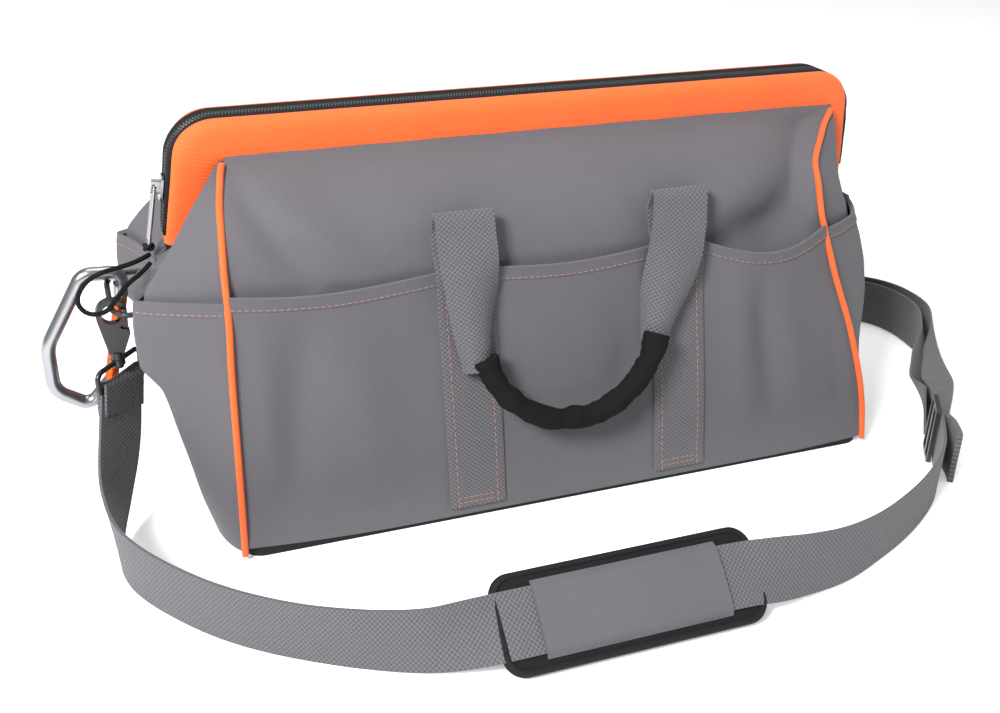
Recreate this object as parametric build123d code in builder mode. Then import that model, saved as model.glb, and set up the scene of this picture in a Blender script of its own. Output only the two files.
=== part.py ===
"""Garden tool bag with a wire-framed gate mouth, two carry handles and a clip-on shoulder strap.

Frame: origin at the middle of the base on the surface it stands on, +X along the bag,
+Y towards its back, +Z up. Millimetres.
"""

import math
import os

from build123d import *

os.makedirs("parts", exist_ok=True)

# ---------------------------------------------------------------- driving dimensions
BASE_LENGTH = 455.0
BASE_DEPTH = 215.0
WEBBING = 38.0  # width of the handle and shoulder webbing
WEB_THICK = 2.2
FABRIC = 2.0  # coated cloth and its lining
POCKET_GAP = 3.5  # room between a pocket and the wall behind it
TRAY_HEIGHT = 14.0

HINGE_Z = 155.0  # height of the pivots of the two mouth frames
FRAME_LEAN = 7.15  # how far each closed frame leans from upright, degrees
FRAME_RISE = 93.5  # from the pivots up to the top rail
FRAME_HALF = 231.0  # half length of the top rail
LEG_HALF = 243.5  # half distance between the frame's feet
WIRE_R = 2.5
TANG = 2.4  # thickness of the flattened feet
RIVET_R = 2.05
RUNNING = 0.05  # radial clearance of a running fit

HANDLE_X = 74.0  # where each handle strap is sewn, either side of the middle
FOLD_Y, FOLD_Z = -72.5, 197.5  # where a handle strap folds over

RING_WIRE = 1.8
CORD_R = 1.5
STRAP_THICK = 2.4

parts = {}


def save(name, solid):
    """Label a finished piece and write it to its own STEP file."""
    solid.label = name
    parts[name] = solid
    export_step(solid, f"parts/{name}.step")


def save_mirrored(name, solid, plane):
    """Write the same piece as seen in a mirror."""
    save(name, mirror(solid, about=plane))


def tangent_radii(points, share=0.45):
    """The largest arc that each corner of a route has room for."""
    vectors = [Vector(*p) for p in points]
    radii = []
    for before, at, after in zip(vectors, vectors[1:], vectors[2:]):
        turn = math.radians((at - before).get_angle(after - at))
        shorter = min((at - before).length, (after - at).length)
        radii.append(share * shorter / math.tan(turn / 2))
    return radii


# ---------------------------------------------------------------- base
with BuildPart() as base_tray:
    with BuildSketch():
        RectangleRounded(BASE_LENGTH, BASE_DEPTH, 14)
    extrude(amount=TRAY_HEIGHT)
    with BuildSketch(Plane.XY.offset(3)):
        RectangleRounded(BASE_LENGTH - 5, BASE_DEPTH - 5, 12)
    extrude(amount=TRAY_HEIGHT, mode=Mode.SUBTRACT)
save("base_tray", base_tray.part)

with BuildPart() as base_board:
    with BuildSketch(Plane.XY.offset(3)):
        RectangleRounded(BASE_LENGTH - 12, BASE_DEPTH - 26, 10)
    extrude(amount=3)
save("base_board", base_board.part)

# ---------------------------------------------------------------- long walls
# Outer face of the pocket, from the base to its hem, as (y, z) on the front side.
POCKET_LINE = [(-106.5, 12), (-101, 44), (-95, 74), (-88, 105), (-82, 135), (-77.5, 166)]
WALL_TOP = (-64.5, 196)
WALL_HALF = 214.0
POCKET_HALF = 213.0


def strip_profile(x, line, inner, outer):
    """Section at x of a thin strip beside a (y, z) line, between two distances in front of it."""
    with BuildSketch(Plane.YZ.offset(x)) as profile:
        with BuildLine():
            Polyline(
                *[(y - outer, z) for y, z in line],
                *[(y - inner, z) for y, z in reversed(line)],
                close=True,
            )
        make_face()
    return profile.sketch


def long_strip(line, inner, outer, width):
    """The strip's section, run along X for a width about the middle."""
    with BuildPart() as strip:
        extrude(strip_profile(-width / 2, line, inner, outer), amount=width)
    return strip.part


wall_line = [(y + FABRIC + POCKET_GAP, z) for y, z in POCKET_LINE[:-1]]
wall_line = [(wall_line[0][0], TRAY_HEIGHT + 0.5)] + wall_line[1:] + [(-71.8, 166), WALL_TOP]
front_panel = long_strip(wall_line, -FABRIC, 0, 2 * WALL_HALF)
save("front_panel", front_panel)
save_mirrored("back_panel", front_panel, Plane.XZ)

pocket_line = [(POCKET_LINE[0][0], TRAY_HEIGHT + 0.5)] + POCKET_LINE[1:]
with BuildPart() as pocket:
    extrude(strip_profile(-POCKET_HALF, pocket_line, -FABRIC, 0), amount=2 * POCKET_HALF)
    with BuildSketch(Plane.YZ.offset(-POCKET_HALF)):
        with BuildLine():
            Polyline(
                (-104.6, TRAY_HEIGHT + 0.5), (-104.6, 20), (-101.2, 20), (-101.2, TRAY_HEIGHT + 0.5), close=True
            )
        make_face()
    extrude(amount=2 * POCKET_HALF)
save("front_pocket", pocket.part)
save_mirrored("back_pocket", pocket.part, Plane.XZ)

# Handle straps sewn up the pocket, then up the wall above it.
with BuildPart() as sewn_webbing:
    for line in (pocket_line, [(-70.4, 171), WALL_TOP]):
        for centre in (-HANDLE_X, HANDLE_X):
            extrude(strip_profile(centre - WEBBING / 2, line, 0.2, 0.2 + WEB_THICK), amount=WEBBING)
save("front_webbing", sewn_webbing.part)
save_mirrored("back_webbing", sewn_webbing.part, Plane.XZ)

# ---------------------------------------------------------------- gusseted ends
# Plan of an end at each height, as (x, y) from its front seam to its back seam: front ear, valley, back ear.
# x is the distance from the middle of the bag.
VALLEY = 250.6  # clear of the frame's feet and their rivets
LEFT_LEVELS = {
    14.5: ((219, -99), (234, -52), (236, -24), (236, 24), (234, 52), (219, 99)),
    60: ((218, -92), (243, -56), (241, -24), (241, 24), (243, 56), (218, 92)),
    100: ((217, -84), (252, -60), (247, -24), (247, 24), (252, 60), (217, 84)),
    130: ((216.5, -77), (271, -60), (VALLEY, -24), (VALLEY, 24), (270, 60), (216.5, 77)),
    158: ((216.5, -70.5), (271, -58), (VALLEY, -24), (VALLEY, 24), (270, 58), (216.5, 70.5)),
    166: ((216.5, -69), (268, -56), (VALLEY, -24), (VALLEY, 24), (268, 56), (216.5, 69)),
}
RIGHT_LEVELS = {
    14.5: ((219, -99), (230, -56), (236, -14), (236, 40), (234, 58), (219, 99)),
    60: ((216, -92), (233, -60), (241, -14), (241, 40), (242, 60), (218, 92)),
    100: ((214, -84), (238, -62), (247, -14), (247, 40), (250, 62), (217, 84)),
    130: ((214, -77), (242, -62), (VALLEY, -14), (VALLEY, 40), (266, 62), (216.5, 77)),
    158: ((214, -70.5), (240, -59), (VALLEY, -14), (VALLEY, 40), (266, 60), (216.5, 70.5)),
    166: ((214, -69), (238, -58), (VALLEY, -14), (VALLEY, 40), (264, 58), (216.5, 69)),
}
EAR_ROUND = 4.0  # how far either side of its edge an ear is blunted


def ribbon(side, plan, start, thick):
    """Closed plan outline of an end wall between two distances outside its plan."""
    line = []
    for at, point in enumerate(plan):
        if at in (1, 4):
            here = Vector(*point)
            for other in (plan[at - 1], plan[at + 1]):
                near = here + (Vector(*other) - here).normalized() * EAR_ROUND
                line.append((near.X, near.Y))
        else:
            line.append(point)
    outer = [(side * (x + start + thick), y) for x, y in line]
    inner = [(side * (x + start), y) for x, y in line]
    return outer + inner[::-1]


def gusset(side, levels, start, thick):
    """A pleated end wall lofted through its plan outlines."""
    with BuildPart() as end:
        for z, plan in levels.items():
            with BuildSketch(Plane.XY.offset(z)):
                with BuildLine():
                    Polyline(*ribbon(side, plan, start, thick), close=True)
                make_face()
        loft(ruled=True)
    return end.part


END_POCKET_TOP = 158
END_POCKET_GAP = 1.5
for name, side, levels in (("left", -1, LEFT_LEVELS), ("right", 1, RIGHT_LEVELS)):
    save(f"{name}_gusset", gusset(side, levels, 0, FABRIC))
    below_hem = {z: plan for z, plan in levels.items() if z <= END_POCKET_TOP}
    save(f"{name}_end_pocket", gusset(side, below_hem, FABRIC + END_POCKET_GAP, FABRIC))

# ---------------------------------------------------------------- piping on the four corner seams
PIPING_ROUTE = [
    (-219, -105.5, 18),
    (-217.5, -97, 70),
    (-216.5, -88.5, 118),
    (-216.5, -80, 165),
    (-217, -71, 200),
]
PIPING_R = 2.6
with BuildPart() as piping:
    with BuildLine() as route:
        FilletPolyline(
            *[(x - 2.5, y - 1.5, z) for x, y, z in PIPING_ROUTE],
            radius=tangent_radii(PIPING_ROUTE),
        )
    with BuildSketch(Plane(origin=route.line @ 0, z_dir=route.line % 0)):
        Circle(PIPING_R)
    sweep(path=route.line)
    mirror(about=Plane.XZ)
    mirror(about=Plane.YZ)
save("corner_piping", piping.part)

# ---------------------------------------------------------------- mouth frames
lean = math.radians(FRAME_LEAN)
# Plane of the front frame: X along the bag, Y up the frame from its pivots, Z outwards.
FRAME_PLANE = Plane(origin=(0, 0, HINGE_Z), x_dir=(1, 0, 0), z_dir=(0, -math.cos(lean), -math.sin(lean)))
FRAME_CORNER = 22.0
TANG_RISE = 26.0


def mouth_frame(tang_x):
    """A wire hoop with flattened, drilled feet, which start at tang_x."""
    with BuildPart() as hoop:
        with BuildLine(FRAME_PLANE) as path:
            FilletPolyline(
                (-LEG_HALF, TANG_RISE - 2),
                (-FRAME_HALF, FRAME_RISE),
                (FRAME_HALF, FRAME_RISE),
                (LEG_HALF, TANG_RISE - 2),
                radius=FRAME_CORNER,
            )
        with BuildSketch(Plane(origin=path.line @ 0, z_dir=path.line % 0)):
            Circle(WIRE_R)
        sweep(path=path.line)
        for x in (-tang_x - TANG / 2, tang_x - TANG / 2):
            with BuildSketch(Plane.YZ.offset(x)):
                with Locations((0, HINGE_Z)):
                    Circle(5.5)
                with BuildLine():
                    up = (-math.sin(lean), math.cos(lean))
                    side = (math.cos(lean) * 3, math.sin(lean) * 3)
                    top = (up[0] * TANG_RISE, HINGE_Z + up[1] * TANG_RISE)
                    Polyline(
                        (-side[0], HINGE_Z - side[1]),
                        (side[0], HINGE_Z + side[1]),
                        (top[0] + side[0], top[1] + side[1]),
                        (top[0] - side[0], top[1] - side[1]),
                        close=True,
                    )
                make_face()
                with Locations((0, HINGE_Z)):
                    Circle(RIVET_R + RUNNING, mode=Mode.SUBTRACT)
            extrude(amount=TANG)
    return hoop.part


save("front_frame", mouth_frame(LEG_HALF - 1.4))
save_mirrored("back_frame", mouth_frame(LEG_HALF + 1.4), Plane.XZ)

with BuildPart() as rivets:
    for side in (-1, 1):
        with BuildSketch(Plane.YZ.offset(side * (LEG_HALF - 4.4))):
            with Locations((0, HINGE_Z)):
                Circle(RIVET_R)
        extrude(amount=side * 8.8)
        for x, out in ((LEG_HALF - 4.4, -1.2), (LEG_HALF + 4.4, 1.2)):
            with BuildSketch(Plane.YZ.offset(side * x)):
                with Locations((0, HINGE_Z)):
                    Circle(4.2)
            extrude(amount=side * out)
save("hinge_rivets", rivets.part)

# Orange webbing that sleeves the frame's outer side, along the rail and down the legs.
BAND_HEIGHT = 27.0
with BuildPart() as band:
    with BuildSketch(FRAME_PLANE.offset(WIRE_R + 0.2)) as band_sketch:
        with BuildLine():
            Polyline(
                (-LEG_HALF - 2, TANG_RISE),
                (-FRAME_HALF - 3, FRAME_RISE + 4),
                (FRAME_HALF + 3, FRAME_RISE + 4),
                (LEG_HALF + 2, TANG_RISE),
                (LEG_HALF - 7, TANG_RISE),
                (FRAME_HALF - 18, FRAME_RISE + 4 - BAND_HEIGHT),
                (-FRAME_HALF + 18, FRAME_RISE + 4 - BAND_HEIGHT),
                (-LEG_HALF + 7, TANG_RISE),
                close=True,
            )
        make_face()
        fillet(band_sketch.vertices().group_by(Axis.Y)[-1], FRAME_CORNER)
    extrude(amount=2.4)
save("front_band", band.part)
save_mirrored("back_band", band.part, Plane.XZ)

# Zip: each half is a tape and a row of teeth outside the frames, from one foot over the rail to the other.
ZIP_OUT = 3.9  # distance of the zip line outside the frame wire
ZIP_FOOT_Z = 178.0
cos_lean = math.cos(lean)
leg_slope = (LEG_HALF - FRAME_HALF) / ((FRAME_RISE - TANG_RISE) * cos_lean)
zip_top_z = HINGE_Z + FRAME_RISE * cos_lean + ZIP_OUT
zip_top_x = FRAME_HALF + ZIP_OUT - ZIP_OUT * leg_slope
zip_foot_x = zip_top_x + (zip_top_z - ZIP_FOOT_Z) * leg_slope
ZIP_POINTS = [
    (-zip_foot_x, ZIP_FOOT_Z),
    (-zip_top_x, zip_top_z),
    (zip_top_x, zip_top_z),
    (zip_foot_x, ZIP_FOOT_Z),
]


def zip_strip(thick, y_outer, y_inner):
    """A strip of the zip line between two distances in front of the middle plane."""
    with BuildPart() as strip:
        with BuildSketch(Plane.XZ.offset(y_inner)):
            with BuildLine():
                FilletPolyline(*ZIP_POINTS, radius=FRAME_CORNER + ZIP_OUT)
            trace(line_width=thick)
        extrude(amount=y_outer - y_inner)
    return strip.part


TEETH_GAP = 1.2  # half the gap between the two rows of teeth
TEETH_WIDE = 2.4
zip_tape = zip_strip(1.0, 10.2, TEETH_GAP + TEETH_WIDE + 0.1)
save("front_zip_tape", zip_tape)
save_mirrored("back_zip_tape", zip_tape, Plane.XZ)
zip_teeth = zip_strip(2.2, TEETH_GAP + TEETH_WIDE, TEETH_GAP)
save("front_zip_teeth", zip_teeth)
save_mirrored("back_zip_teeth", zip_teeth, Plane.XZ)

# Cloth between the mouth band and the wall below: an arc about the pivots, so that it slides in
# behind the wall.
TOP_PANEL_R = 68.6
TOP_LOW, TOP_HIGH = 22.0, 73.0  # where the arc starts and ends, degrees above level


def on_arc(radius, angle):
    return (-radius * math.cos(math.radians(angle)), HINGE_Z + radius * math.sin(math.radians(angle)))


TOP_INNER_R = TOP_PANEL_R - FABRIC
TOP_MID = (TOP_LOW + TOP_HIGH) / 2
with BuildPart() as top_panel:
    with BuildSketch(Plane.YZ.offset(-210)):
        with BuildLine():
            ThreePointArc(
                on_arc(TOP_PANEL_R, TOP_LOW), on_arc(TOP_PANEL_R, TOP_MID), on_arc(TOP_PANEL_R, TOP_HIGH)
            )
            Line(on_arc(TOP_PANEL_R, TOP_HIGH), on_arc(TOP_INNER_R, TOP_HIGH))
            ThreePointArc(
                on_arc(TOP_INNER_R, TOP_HIGH), on_arc(TOP_INNER_R, TOP_MID), on_arc(TOP_INNER_R, TOP_LOW)
            )
            Line(on_arc(TOP_INNER_R, TOP_LOW), on_arc(TOP_PANEL_R, TOP_LOW))
        make_face()
    extrude(amount=420)
    with BuildSketch(Plane.YZ.offset(-210)):
        with BuildLine():
            Polyline(
                on_arc(TOP_PANEL_R, 71), on_arc(72.6, 74), on_arc(73.2, 75.3), on_arc(66.6, 74.5), close=True
            )
        make_face()
    extrude(amount=420)
save("front_top_panel", top_panel.part)
save_mirrored("back_top_panel", top_panel.part, Plane.XZ)

# ---------------------------------------------------------------- zip slider and pull
SLIDER_Z = 209.0
slider_x = -(zip_top_x + (zip_top_z - SLIDER_Z) * leg_slope)
leg_up = Vector(leg_slope, 0, 1).normalized()
leg_out = Vector(-leg_up.Z, 0, leg_up.X)
# Plane on the zip line: X up the leg, Y to the front, Z out of the bag.
SLIDER_PLANE = Plane(origin=(slider_x, 0, SLIDER_Z), x_dir=leg_up, z_dir=leg_out)
BAIL_OUT = 7.0  # how far out the pull hooks on
with BuildPart() as slider:
    for level in (1.9, -3.4):
        with BuildSketch(SLIDER_PLANE.offset(level)):
            RectangleRounded(16, 6 if level < 0 else 11, 2.5)
        extrude(amount=1.5)
    with BuildSketch(SLIDER_PLANE.offset(-2)):
        with Locations((5, 0)):
            RectangleRounded(5, 1.6, 0.7)
    extrude(amount=4)
    with BuildSketch(SLIDER_PLANE.offset(3.3)):
        RectangleRounded(9, 3, 1.2)
    extrude(amount=5.6)
    bail_foot = SLIDER_PLANE.from_local_coords(Vector(0, 0, BAIL_OUT))
    with BuildSketch(Plane(origin=bail_foot, x_dir=leg_up, z_dir=(0, -1, 0))):
        Circle(1.6)
    extrude(amount=5, both=True, mode=Mode.SUBTRACT)
save("zip_slider", slider.part)

PULL_WIRE = 1.1
PULL_LENGTH = 37.0
pull_pivot = SLIDER_PLANE.from_local_coords(Vector(0, 0, BAIL_OUT))
pull_down = Vector(-0.19, 0, -1).normalized()
# Plane of the pull: X down it, Y across it.
PULL_PLANE = Plane(origin=pull_pivot, x_dir=pull_down, z_dir=pull_down.cross(Vector(0, 1, 0)))
with BuildPart() as pull:
    with BuildLine(PULL_PLANE) as pull_path:
        FilletPolyline((0, -3.6), (PULL_LENGTH, -3.6), (PULL_LENGTH, 3.6), (0, 3.6), radius=1.8, close=True)
    with BuildSketch(Plane(origin=pull_path.line @ 0, z_dir=pull_path.line % 0)):
        Circle(PULL_WIRE)
    sweep(path=pull_path.line)
save("zip_pull", pull.part)

# Cord that lengthens the pull: down from its knot, once round in an open loop, and back to the knot.
pull_end = pull_pivot + pull_down * (PULL_LENGTH + 2.6)
KNOT_R = 3.4
with BuildPart() as knot:
    with Locations(tuple(pull_end)):
        Sphere(KNOT_R)
save("zip_knot", knot.part)

ZIP_CORD_ROUTE = [
    (-256.5, -3.5, 167.5),
    (-264, -11, 167),
    (-276, -18, 167),
    (-288, -24, 167.5),
    (-298, -27, 163),
    (-304, -28, 152),
    (-298, -28, 142.5),
    (-287, -28, 142.5),
    (-280, -27, 151),
    (-272, -22, 158),
    (-263, -15, 160.5),
    (-257, -8, 163.5),
]
with BuildPart() as zip_cord:
    cord_radii = tangent_radii(ZIP_CORD_ROUTE)
    with BuildLine() as cord_path:
        FilletPolyline(*ZIP_CORD_ROUTE, radius=cord_radii)
    with BuildSketch(Plane(origin=cord_path.line @ 0, z_dir=cord_path.line % 0)):
        Circle(CORD_R)
    sweep(path=cord_path.line)
print("zip cord: length", round(cord_path.wire().length, 1), "radii", [round(r, 1) for r in cord_radii])
print("zip cord: volume over section times length",
      round(zip_cord.part.volume / (math.pi * CORD_R**2 * cord_path.wire().length), 4))
save("zip_cord", zip_cord.part)

# ---------------------------------------------------------------- carry handles
handle_down = Vector(0, -0.32, -0.947).normalized()
# Plane of a hanging handle: X along the bag, Y down the handle from its fold, Z to the wall.
HANDLE_PLANE = Plane(origin=(0, FOLD_Y, FOLD_Z), x_dir=(1, 0, 0), z_dir=Vector(1, 0, 0).cross(handle_down))
HANDLE_THICK = 2.4
GRIP_START = 90.0
GRIP_R = 7.5
LEFT_LEG_END, RIGHT_LEG_END = -68.0, 52.0  # the loop hangs a little to the left
with BuildPart() as handle_webbing:
    for top_x, end_x in ((-HANDLE_X, LEFT_LEG_END), (HANDLE_X, RIGHT_LEG_END)):
        with BuildSketch(HANDLE_PLANE.offset(-HANDLE_THICK / 2)):
            with BuildLine():
                Polyline(
                    (top_x - WEBBING / 2, 0),
                    (top_x + WEBBING / 2, 0),
                    (end_x + 9, GRIP_START),
                    (end_x - 9, GRIP_START),
                    close=True,
                )
            make_face()
        extrude(amount=HANDLE_THICK)
save("front_handle_webbing", handle_webbing.part)
save_mirrored("back_handle_webbing", handle_webbing.part, Plane.XZ)

GRIP_ROUTE = [
    (LEFT_LEG_END, GRIP_START + 0.3),
    (-62, 108),
    (-44, 127),
    (-18, 137),
    (12, 134),
    (36, 118),
    (RIGHT_LEG_END, GRIP_START + 0.3),
]
with BuildPart() as grip:
    with BuildLine(HANDLE_PLANE) as grip_path:
        FilletPolyline(*GRIP_ROUTE, radius=tangent_radii([(*p, 0) for p in GRIP_ROUTE]))
    with BuildSketch(Plane(origin=grip_path.line @ 0, z_dir=grip_path.line % 0)):
        Circle(GRIP_R)
    sweep(path=grip_path.line)
save("front_handle_grip", grip.part)
save_mirrored("back_handle_grip", grip.part, Plane.XZ)

# ---------------------------------------------------------------- strap rings and their tabs
RING_HALF = 21.8  # half width of a D ring at the middle of its wire
RING_DEEP = 23.0
RING_ROUND = 11.0


def d_ring(plane):
    """A D ring in a plane whose X points from the bar to the bow."""
    with BuildPart() as ring:
        with BuildLine(plane) as outline:
            FilletPolyline(
                (0, -RING_HALF),
                (RING_DEEP, -RING_HALF),
                (RING_DEEP, RING_HALF),
                (0, RING_HALF),
                radius=[3, RING_ROUND, RING_ROUND, 3],
                close=True,
            )
        with BuildSketch(Plane(origin=outline.wire() @ 0, z_dir=outline.wire() % 0)):
            Circle(RING_WIRE)
        sweep(path=outline.wire())
    return ring.part


def ring_tab(plane, reach):
    """Webbing folded round the ring's bar and sewn to the end wall behind it, reach away."""
    eye = RING_WIRE + 0.5
    with BuildPart() as tab:
        with BuildSketch(Plane(origin=plane.origin, x_dir=plane.x_dir, z_dir=plane.y_dir)) as profile:
            Circle(eye + WEB_THICK)
            with Locations((-reach / 2, 0)):
                Rectangle(reach, 2 * WEB_THICK)
            Circle(eye, mode=Mode.SUBTRACT)
        extrude(amount=WEBBING / 2, both=True)
    return tab.part


ring_tilt = math.radians(14.5)
LEFT_RING = (-260.9, 0, 141.5)
LEFT_RING_PLANE = Plane(
    origin=LEFT_RING,
    x_dir=(-1, 0, 0),
    z_dir=Vector(-1, 0, 0).cross(Vector(0, math.cos(ring_tilt), math.sin(ring_tilt))),
)
save("left_d_ring", d_ring(LEFT_RING_PLANE))
save("left_ring_tab", ring_tab(LEFT_RING_PLANE, 4.4))

RIGHT_RING = (261.0, 13, 141)
right_down = Vector(0.2425, 0, -0.9701)
RIGHT_RING_PLANE = Plane(origin=RIGHT_RING, x_dir=right_down, z_dir=right_down.cross(Vector(0, 1, 0)))
save("right_d_ring", d_ring(RIGHT_RING_PLANE))
save("right_ring_tab", ring_tab(RIGHT_RING_PLANE, 10))

# ---------------------------------------------------------------- snap hooks
HOOK_INNER = 6.5
HOOK_WIRE = 3.2
HOOK_THICK = 6.4
HOOK_NECK = 31.0  # from the middle of the hook's ring down to the swivel's top face
PIN_Y = -10.0  # the thumb gate's pin, below the middle of the ring
PIN_X = 8.0


def hook_plane(at):
    """Upright plane along X through the middle of a hook's ring."""
    return Plane(origin=at, x_dir=(1, 0, 0), z_dir=(0, -1, 0))


def snap_hook(at):
    """Hook, body and swivel stud, with a slot for the thumb gate."""
    plane = hook_plane(at)
    with BuildPart() as hook:
        with BuildSketch(plane.offset(-HOOK_THICK / 2)):
            Circle(HOOK_INNER + HOOK_WIRE)
            with BuildLine():
                Polyline((-9.5, -3), (9.7, -12.5), (9.7, -14), (4.6, -27), (-4.6, -27), close=True)
            make_face()
            Circle(HOOK_INNER, mode=Mode.SUBTRACT)
            with Locations((8.5, -3.4)):
                Rectangle(7, 12.6, mode=Mode.SUBTRACT)
        extrude(amount=HOOK_THICK)
        with BuildSketch(plane.offset(-1.8)):
            with Locations((PIN_X + 0.7, PIN_Y - 0.6)):
                Rectangle(9.0, 7.8)
            with Locations((7.5, -7)):
                Rectangle(11, 10)
        extrude(amount=3.6, mode=Mode.SUBTRACT)
        with BuildSketch(plane.offset(-HOOK_THICK / 2)):
            with Locations((PIN_X - 0.9, PIN_Y - 1.6)):
                Circle(0.9)
        extrude(amount=HOOK_THICK)
        down = Plane(origin=(at[0], at[1], at[2] - 26.5), x_dir=(1, 0, 0), z_dir=(0, 0, -1))
        collar = (0, 4.4, HOOK_NECK - 26.5)
        stem = (HOOK_NECK - 26.8, 2.0, 5.2)
        button = (HOOK_NECK - 21.9, 3.4, 1.8)
        for start, radius, length in (collar, stem, button):
            with BuildSketch(down.offset(start)):
                Circle(radius)
            extrude(amount=length)
    return hook.part


def thumb_gate(at):
    """Sprung latch that closes the hook, turning on its pin."""
    plane = hook_plane(at)
    with BuildPart() as gate:
        with BuildSketch(plane.offset(-1.5)):
            with Locations((PIN_X - 0.9, PIN_Y - 1.6)):
                Circle(2.1)
            with BuildLine():
                Polyline(
                    (PIN_X - 2.6, PIN_Y - 1), (PIN_X + 1, PIN_Y - 1), (PIN_X + 1.4, 2.3), (PIN_X - 1, 2.3), close=True
                )
            make_face()
            with Locations((PIN_X - 0.9, PIN_Y - 1.6)):
                Circle(0.95, mode=Mode.SUBTRACT)
        extrude(amount=3)
    return gate.part


LOOP_DROP = 13.5  # from the swivel eye down to the bar that the strap goes round
LOOP_WIRE = 1.7


def strap_loop(at, across):
    """Swivel eye with the wide wire loop that carries the webbing."""
    top = at[2] - HOOK_NECK - 0.3
    plane = Plane(origin=(at[0], at[1], top - 2), x_dir=across, z_dir=Vector(*across).cross(Vector(0, 0, 1)))
    half = WEBBING / 2 + 2.6
    with BuildPart() as loop:
        with BuildLine(plane) as wire:
            FilletPolyline(
                (3, 0), (half, 0), (half, -LOOP_DROP), (-half, -LOOP_DROP), (-half, 0), (-3, 0), radius=[5, 3, 3, 5]
            )
        with BuildSketch(Plane(origin=wire.line @ 0, z_dir=wire.line % 0)):
            Circle(LOOP_WIRE)
        sweep(path=wire.line)
        with BuildSketch(Plane.XY.offset(top - 4)):
            with Locations((at[0], at[1])):
                Circle(4.6)
        extrude(amount=4)
        with BuildSketch(Plane.XY.offset(top - 5)):
            with Locations((at[0], at[1])):
                Circle(2.0 + RUNNING)
        extrude(amount=6, mode=Mode.SUBTRACT)
    return loop.part


LEFT_HOOK = (-283.9, -12, 134.9)
LEFT_ACROSS = Vector(0.65, 0.76, 0).normalized()
save("left_hook", snap_hook(LEFT_HOOK))
save("left_thumb_gate", thumb_gate(LEFT_HOOK))
save("left_strap_loop", strap_loop(LEFT_HOOK, tuple(LEFT_ACROSS)))

RIGHT_HOOK = (266.6, 13, 116.2)
RIGHT_ACROSS = Vector(0.25, 0.968, 0).normalized()
save("right_hook", snap_hook(RIGHT_HOOK))
save("right_thumb_gate", thumb_gate(RIGHT_HOOK))
save("right_strap_loop", strap_loop(RIGHT_HOOK, tuple(RIGHT_ACROSS)))

# ---------------------------------------------------------------- carabiner on the left ring
CARABINER_Y = 12.0
STOCK_R = 4.6
GATE_TOP = (-276.2, 136)
GATE_FOOT = (-289, 77)
CARABINER_PLANE = Plane.XZ.offset(-CARABINER_Y)
CARABINER_LINE = [
    GATE_TOP,
    (-274.8, 151.6),
    (-298, 152.6),
    (-325, 106),
    (-325, 74),
    (-304, 60.5),
    GATE_FOOT,
]
with BuildPart() as carabiner:
    with BuildLine(CARABINER_PLANE) as stock_path:
        FilletPolyline(*CARABINER_LINE, radius=[5.5, 9, 26, 15, 8])
    with BuildSketch(Plane(origin=stock_path.line @ 0, z_dir=stock_path.line % 0)):
        Circle(STOCK_R)
    sweep(path=stock_path.line)
    gate_along = (Vector(*GATE_TOP) - Vector(*GATE_FOOT)).normalized()
    with BuildSketch(CARABINER_PLANE.offset(-1.5)):
        with Locations(GATE_FOOT):
            Circle(4.0)
            Circle(1.5 + RUNNING, mode=Mode.SUBTRACT)
    extrude(amount=3)
    with BuildSketch(CARABINER_PLANE.offset(-6)):
        with Locations(GATE_FOOT):
            Circle(1.5 + RUNNING)
    extrude(amount=12, mode=Mode.SUBTRACT)
    for start, amount in ((1.5, 4), (-1.5, -4)):
        with BuildSketch(CARABINER_PLANE.offset(start)):
            with Locations(GATE_FOOT):
                Circle(6.2)
        extrude(amount=amount, mode=Mode.SUBTRACT)
save("carabiner_body", carabiner.part)

GATE_R = 4.3
gate_length = (Vector(*GATE_TOP) - Vector(*GATE_FOOT)).length - 1.2
GATE_PLANE = Plane(
    origin=(GATE_FOOT[0], CARABINER_Y, GATE_FOOT[1]), x_dir=(0, 1, 0), z_dir=(gate_along.X, 0, gate_along.Y)
)
with BuildPart() as gate:
    with BuildSketch(GATE_PLANE.offset(-4)):
        Circle(GATE_R)
    extrude(amount=gate_length + 4)
    with BuildSketch(CARABINER_PLANE.offset(-1.8)):
        with Locations(GATE_FOOT):
            Circle(6.2)
    extrude(amount=3.6, mode=Mode.SUBTRACT)
    with BuildSketch(CARABINER_PLANE.offset(-6)):
        with Locations(GATE_FOOT):
            Circle(1.5)
    extrude(amount=12, mode=Mode.SUBTRACT)
save("carabiner_gate", gate.part)

with BuildPart() as gate_rivet:
    with BuildSketch(CARABINER_PLANE.offset(-4.2)):
        with Locations(GATE_FOOT):
            Circle(1.5)
    extrude(amount=8.4)
save("carabiner_rivet", gate_rivet.part)

# ---------------------------------------------------------------- shoulder strap
PAD_Y = -249.5
PAD_LEAN = 46.0
PAD_WIDTH, PAD_LENGTH, PAD_THICK = 58.0, 165.0, 7.0
PAD_X = -30.0
PAD_BACK = 1.7  # from the middle of the webbing to the foam
SLEEVE_LENGTH, SLEEVE_WIDTH = 116.0, 44.0
pad_tilt = math.radians(PAD_LEAN)
pad_z = PAD_WIDTH / 2 * math.cos(pad_tilt) + (PAD_BACK + PAD_THICK) * math.sin(pad_tilt)
# Plane of the webbing in the pad: X along the bag, Y up the pad, Z to the front and up.
PAD_PLANE = Plane(
    origin=(PAD_X, PAD_Y, pad_z), x_dir=(1, 0, 0), z_dir=(0, -math.cos(pad_tilt), math.sin(pad_tilt))
)

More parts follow.
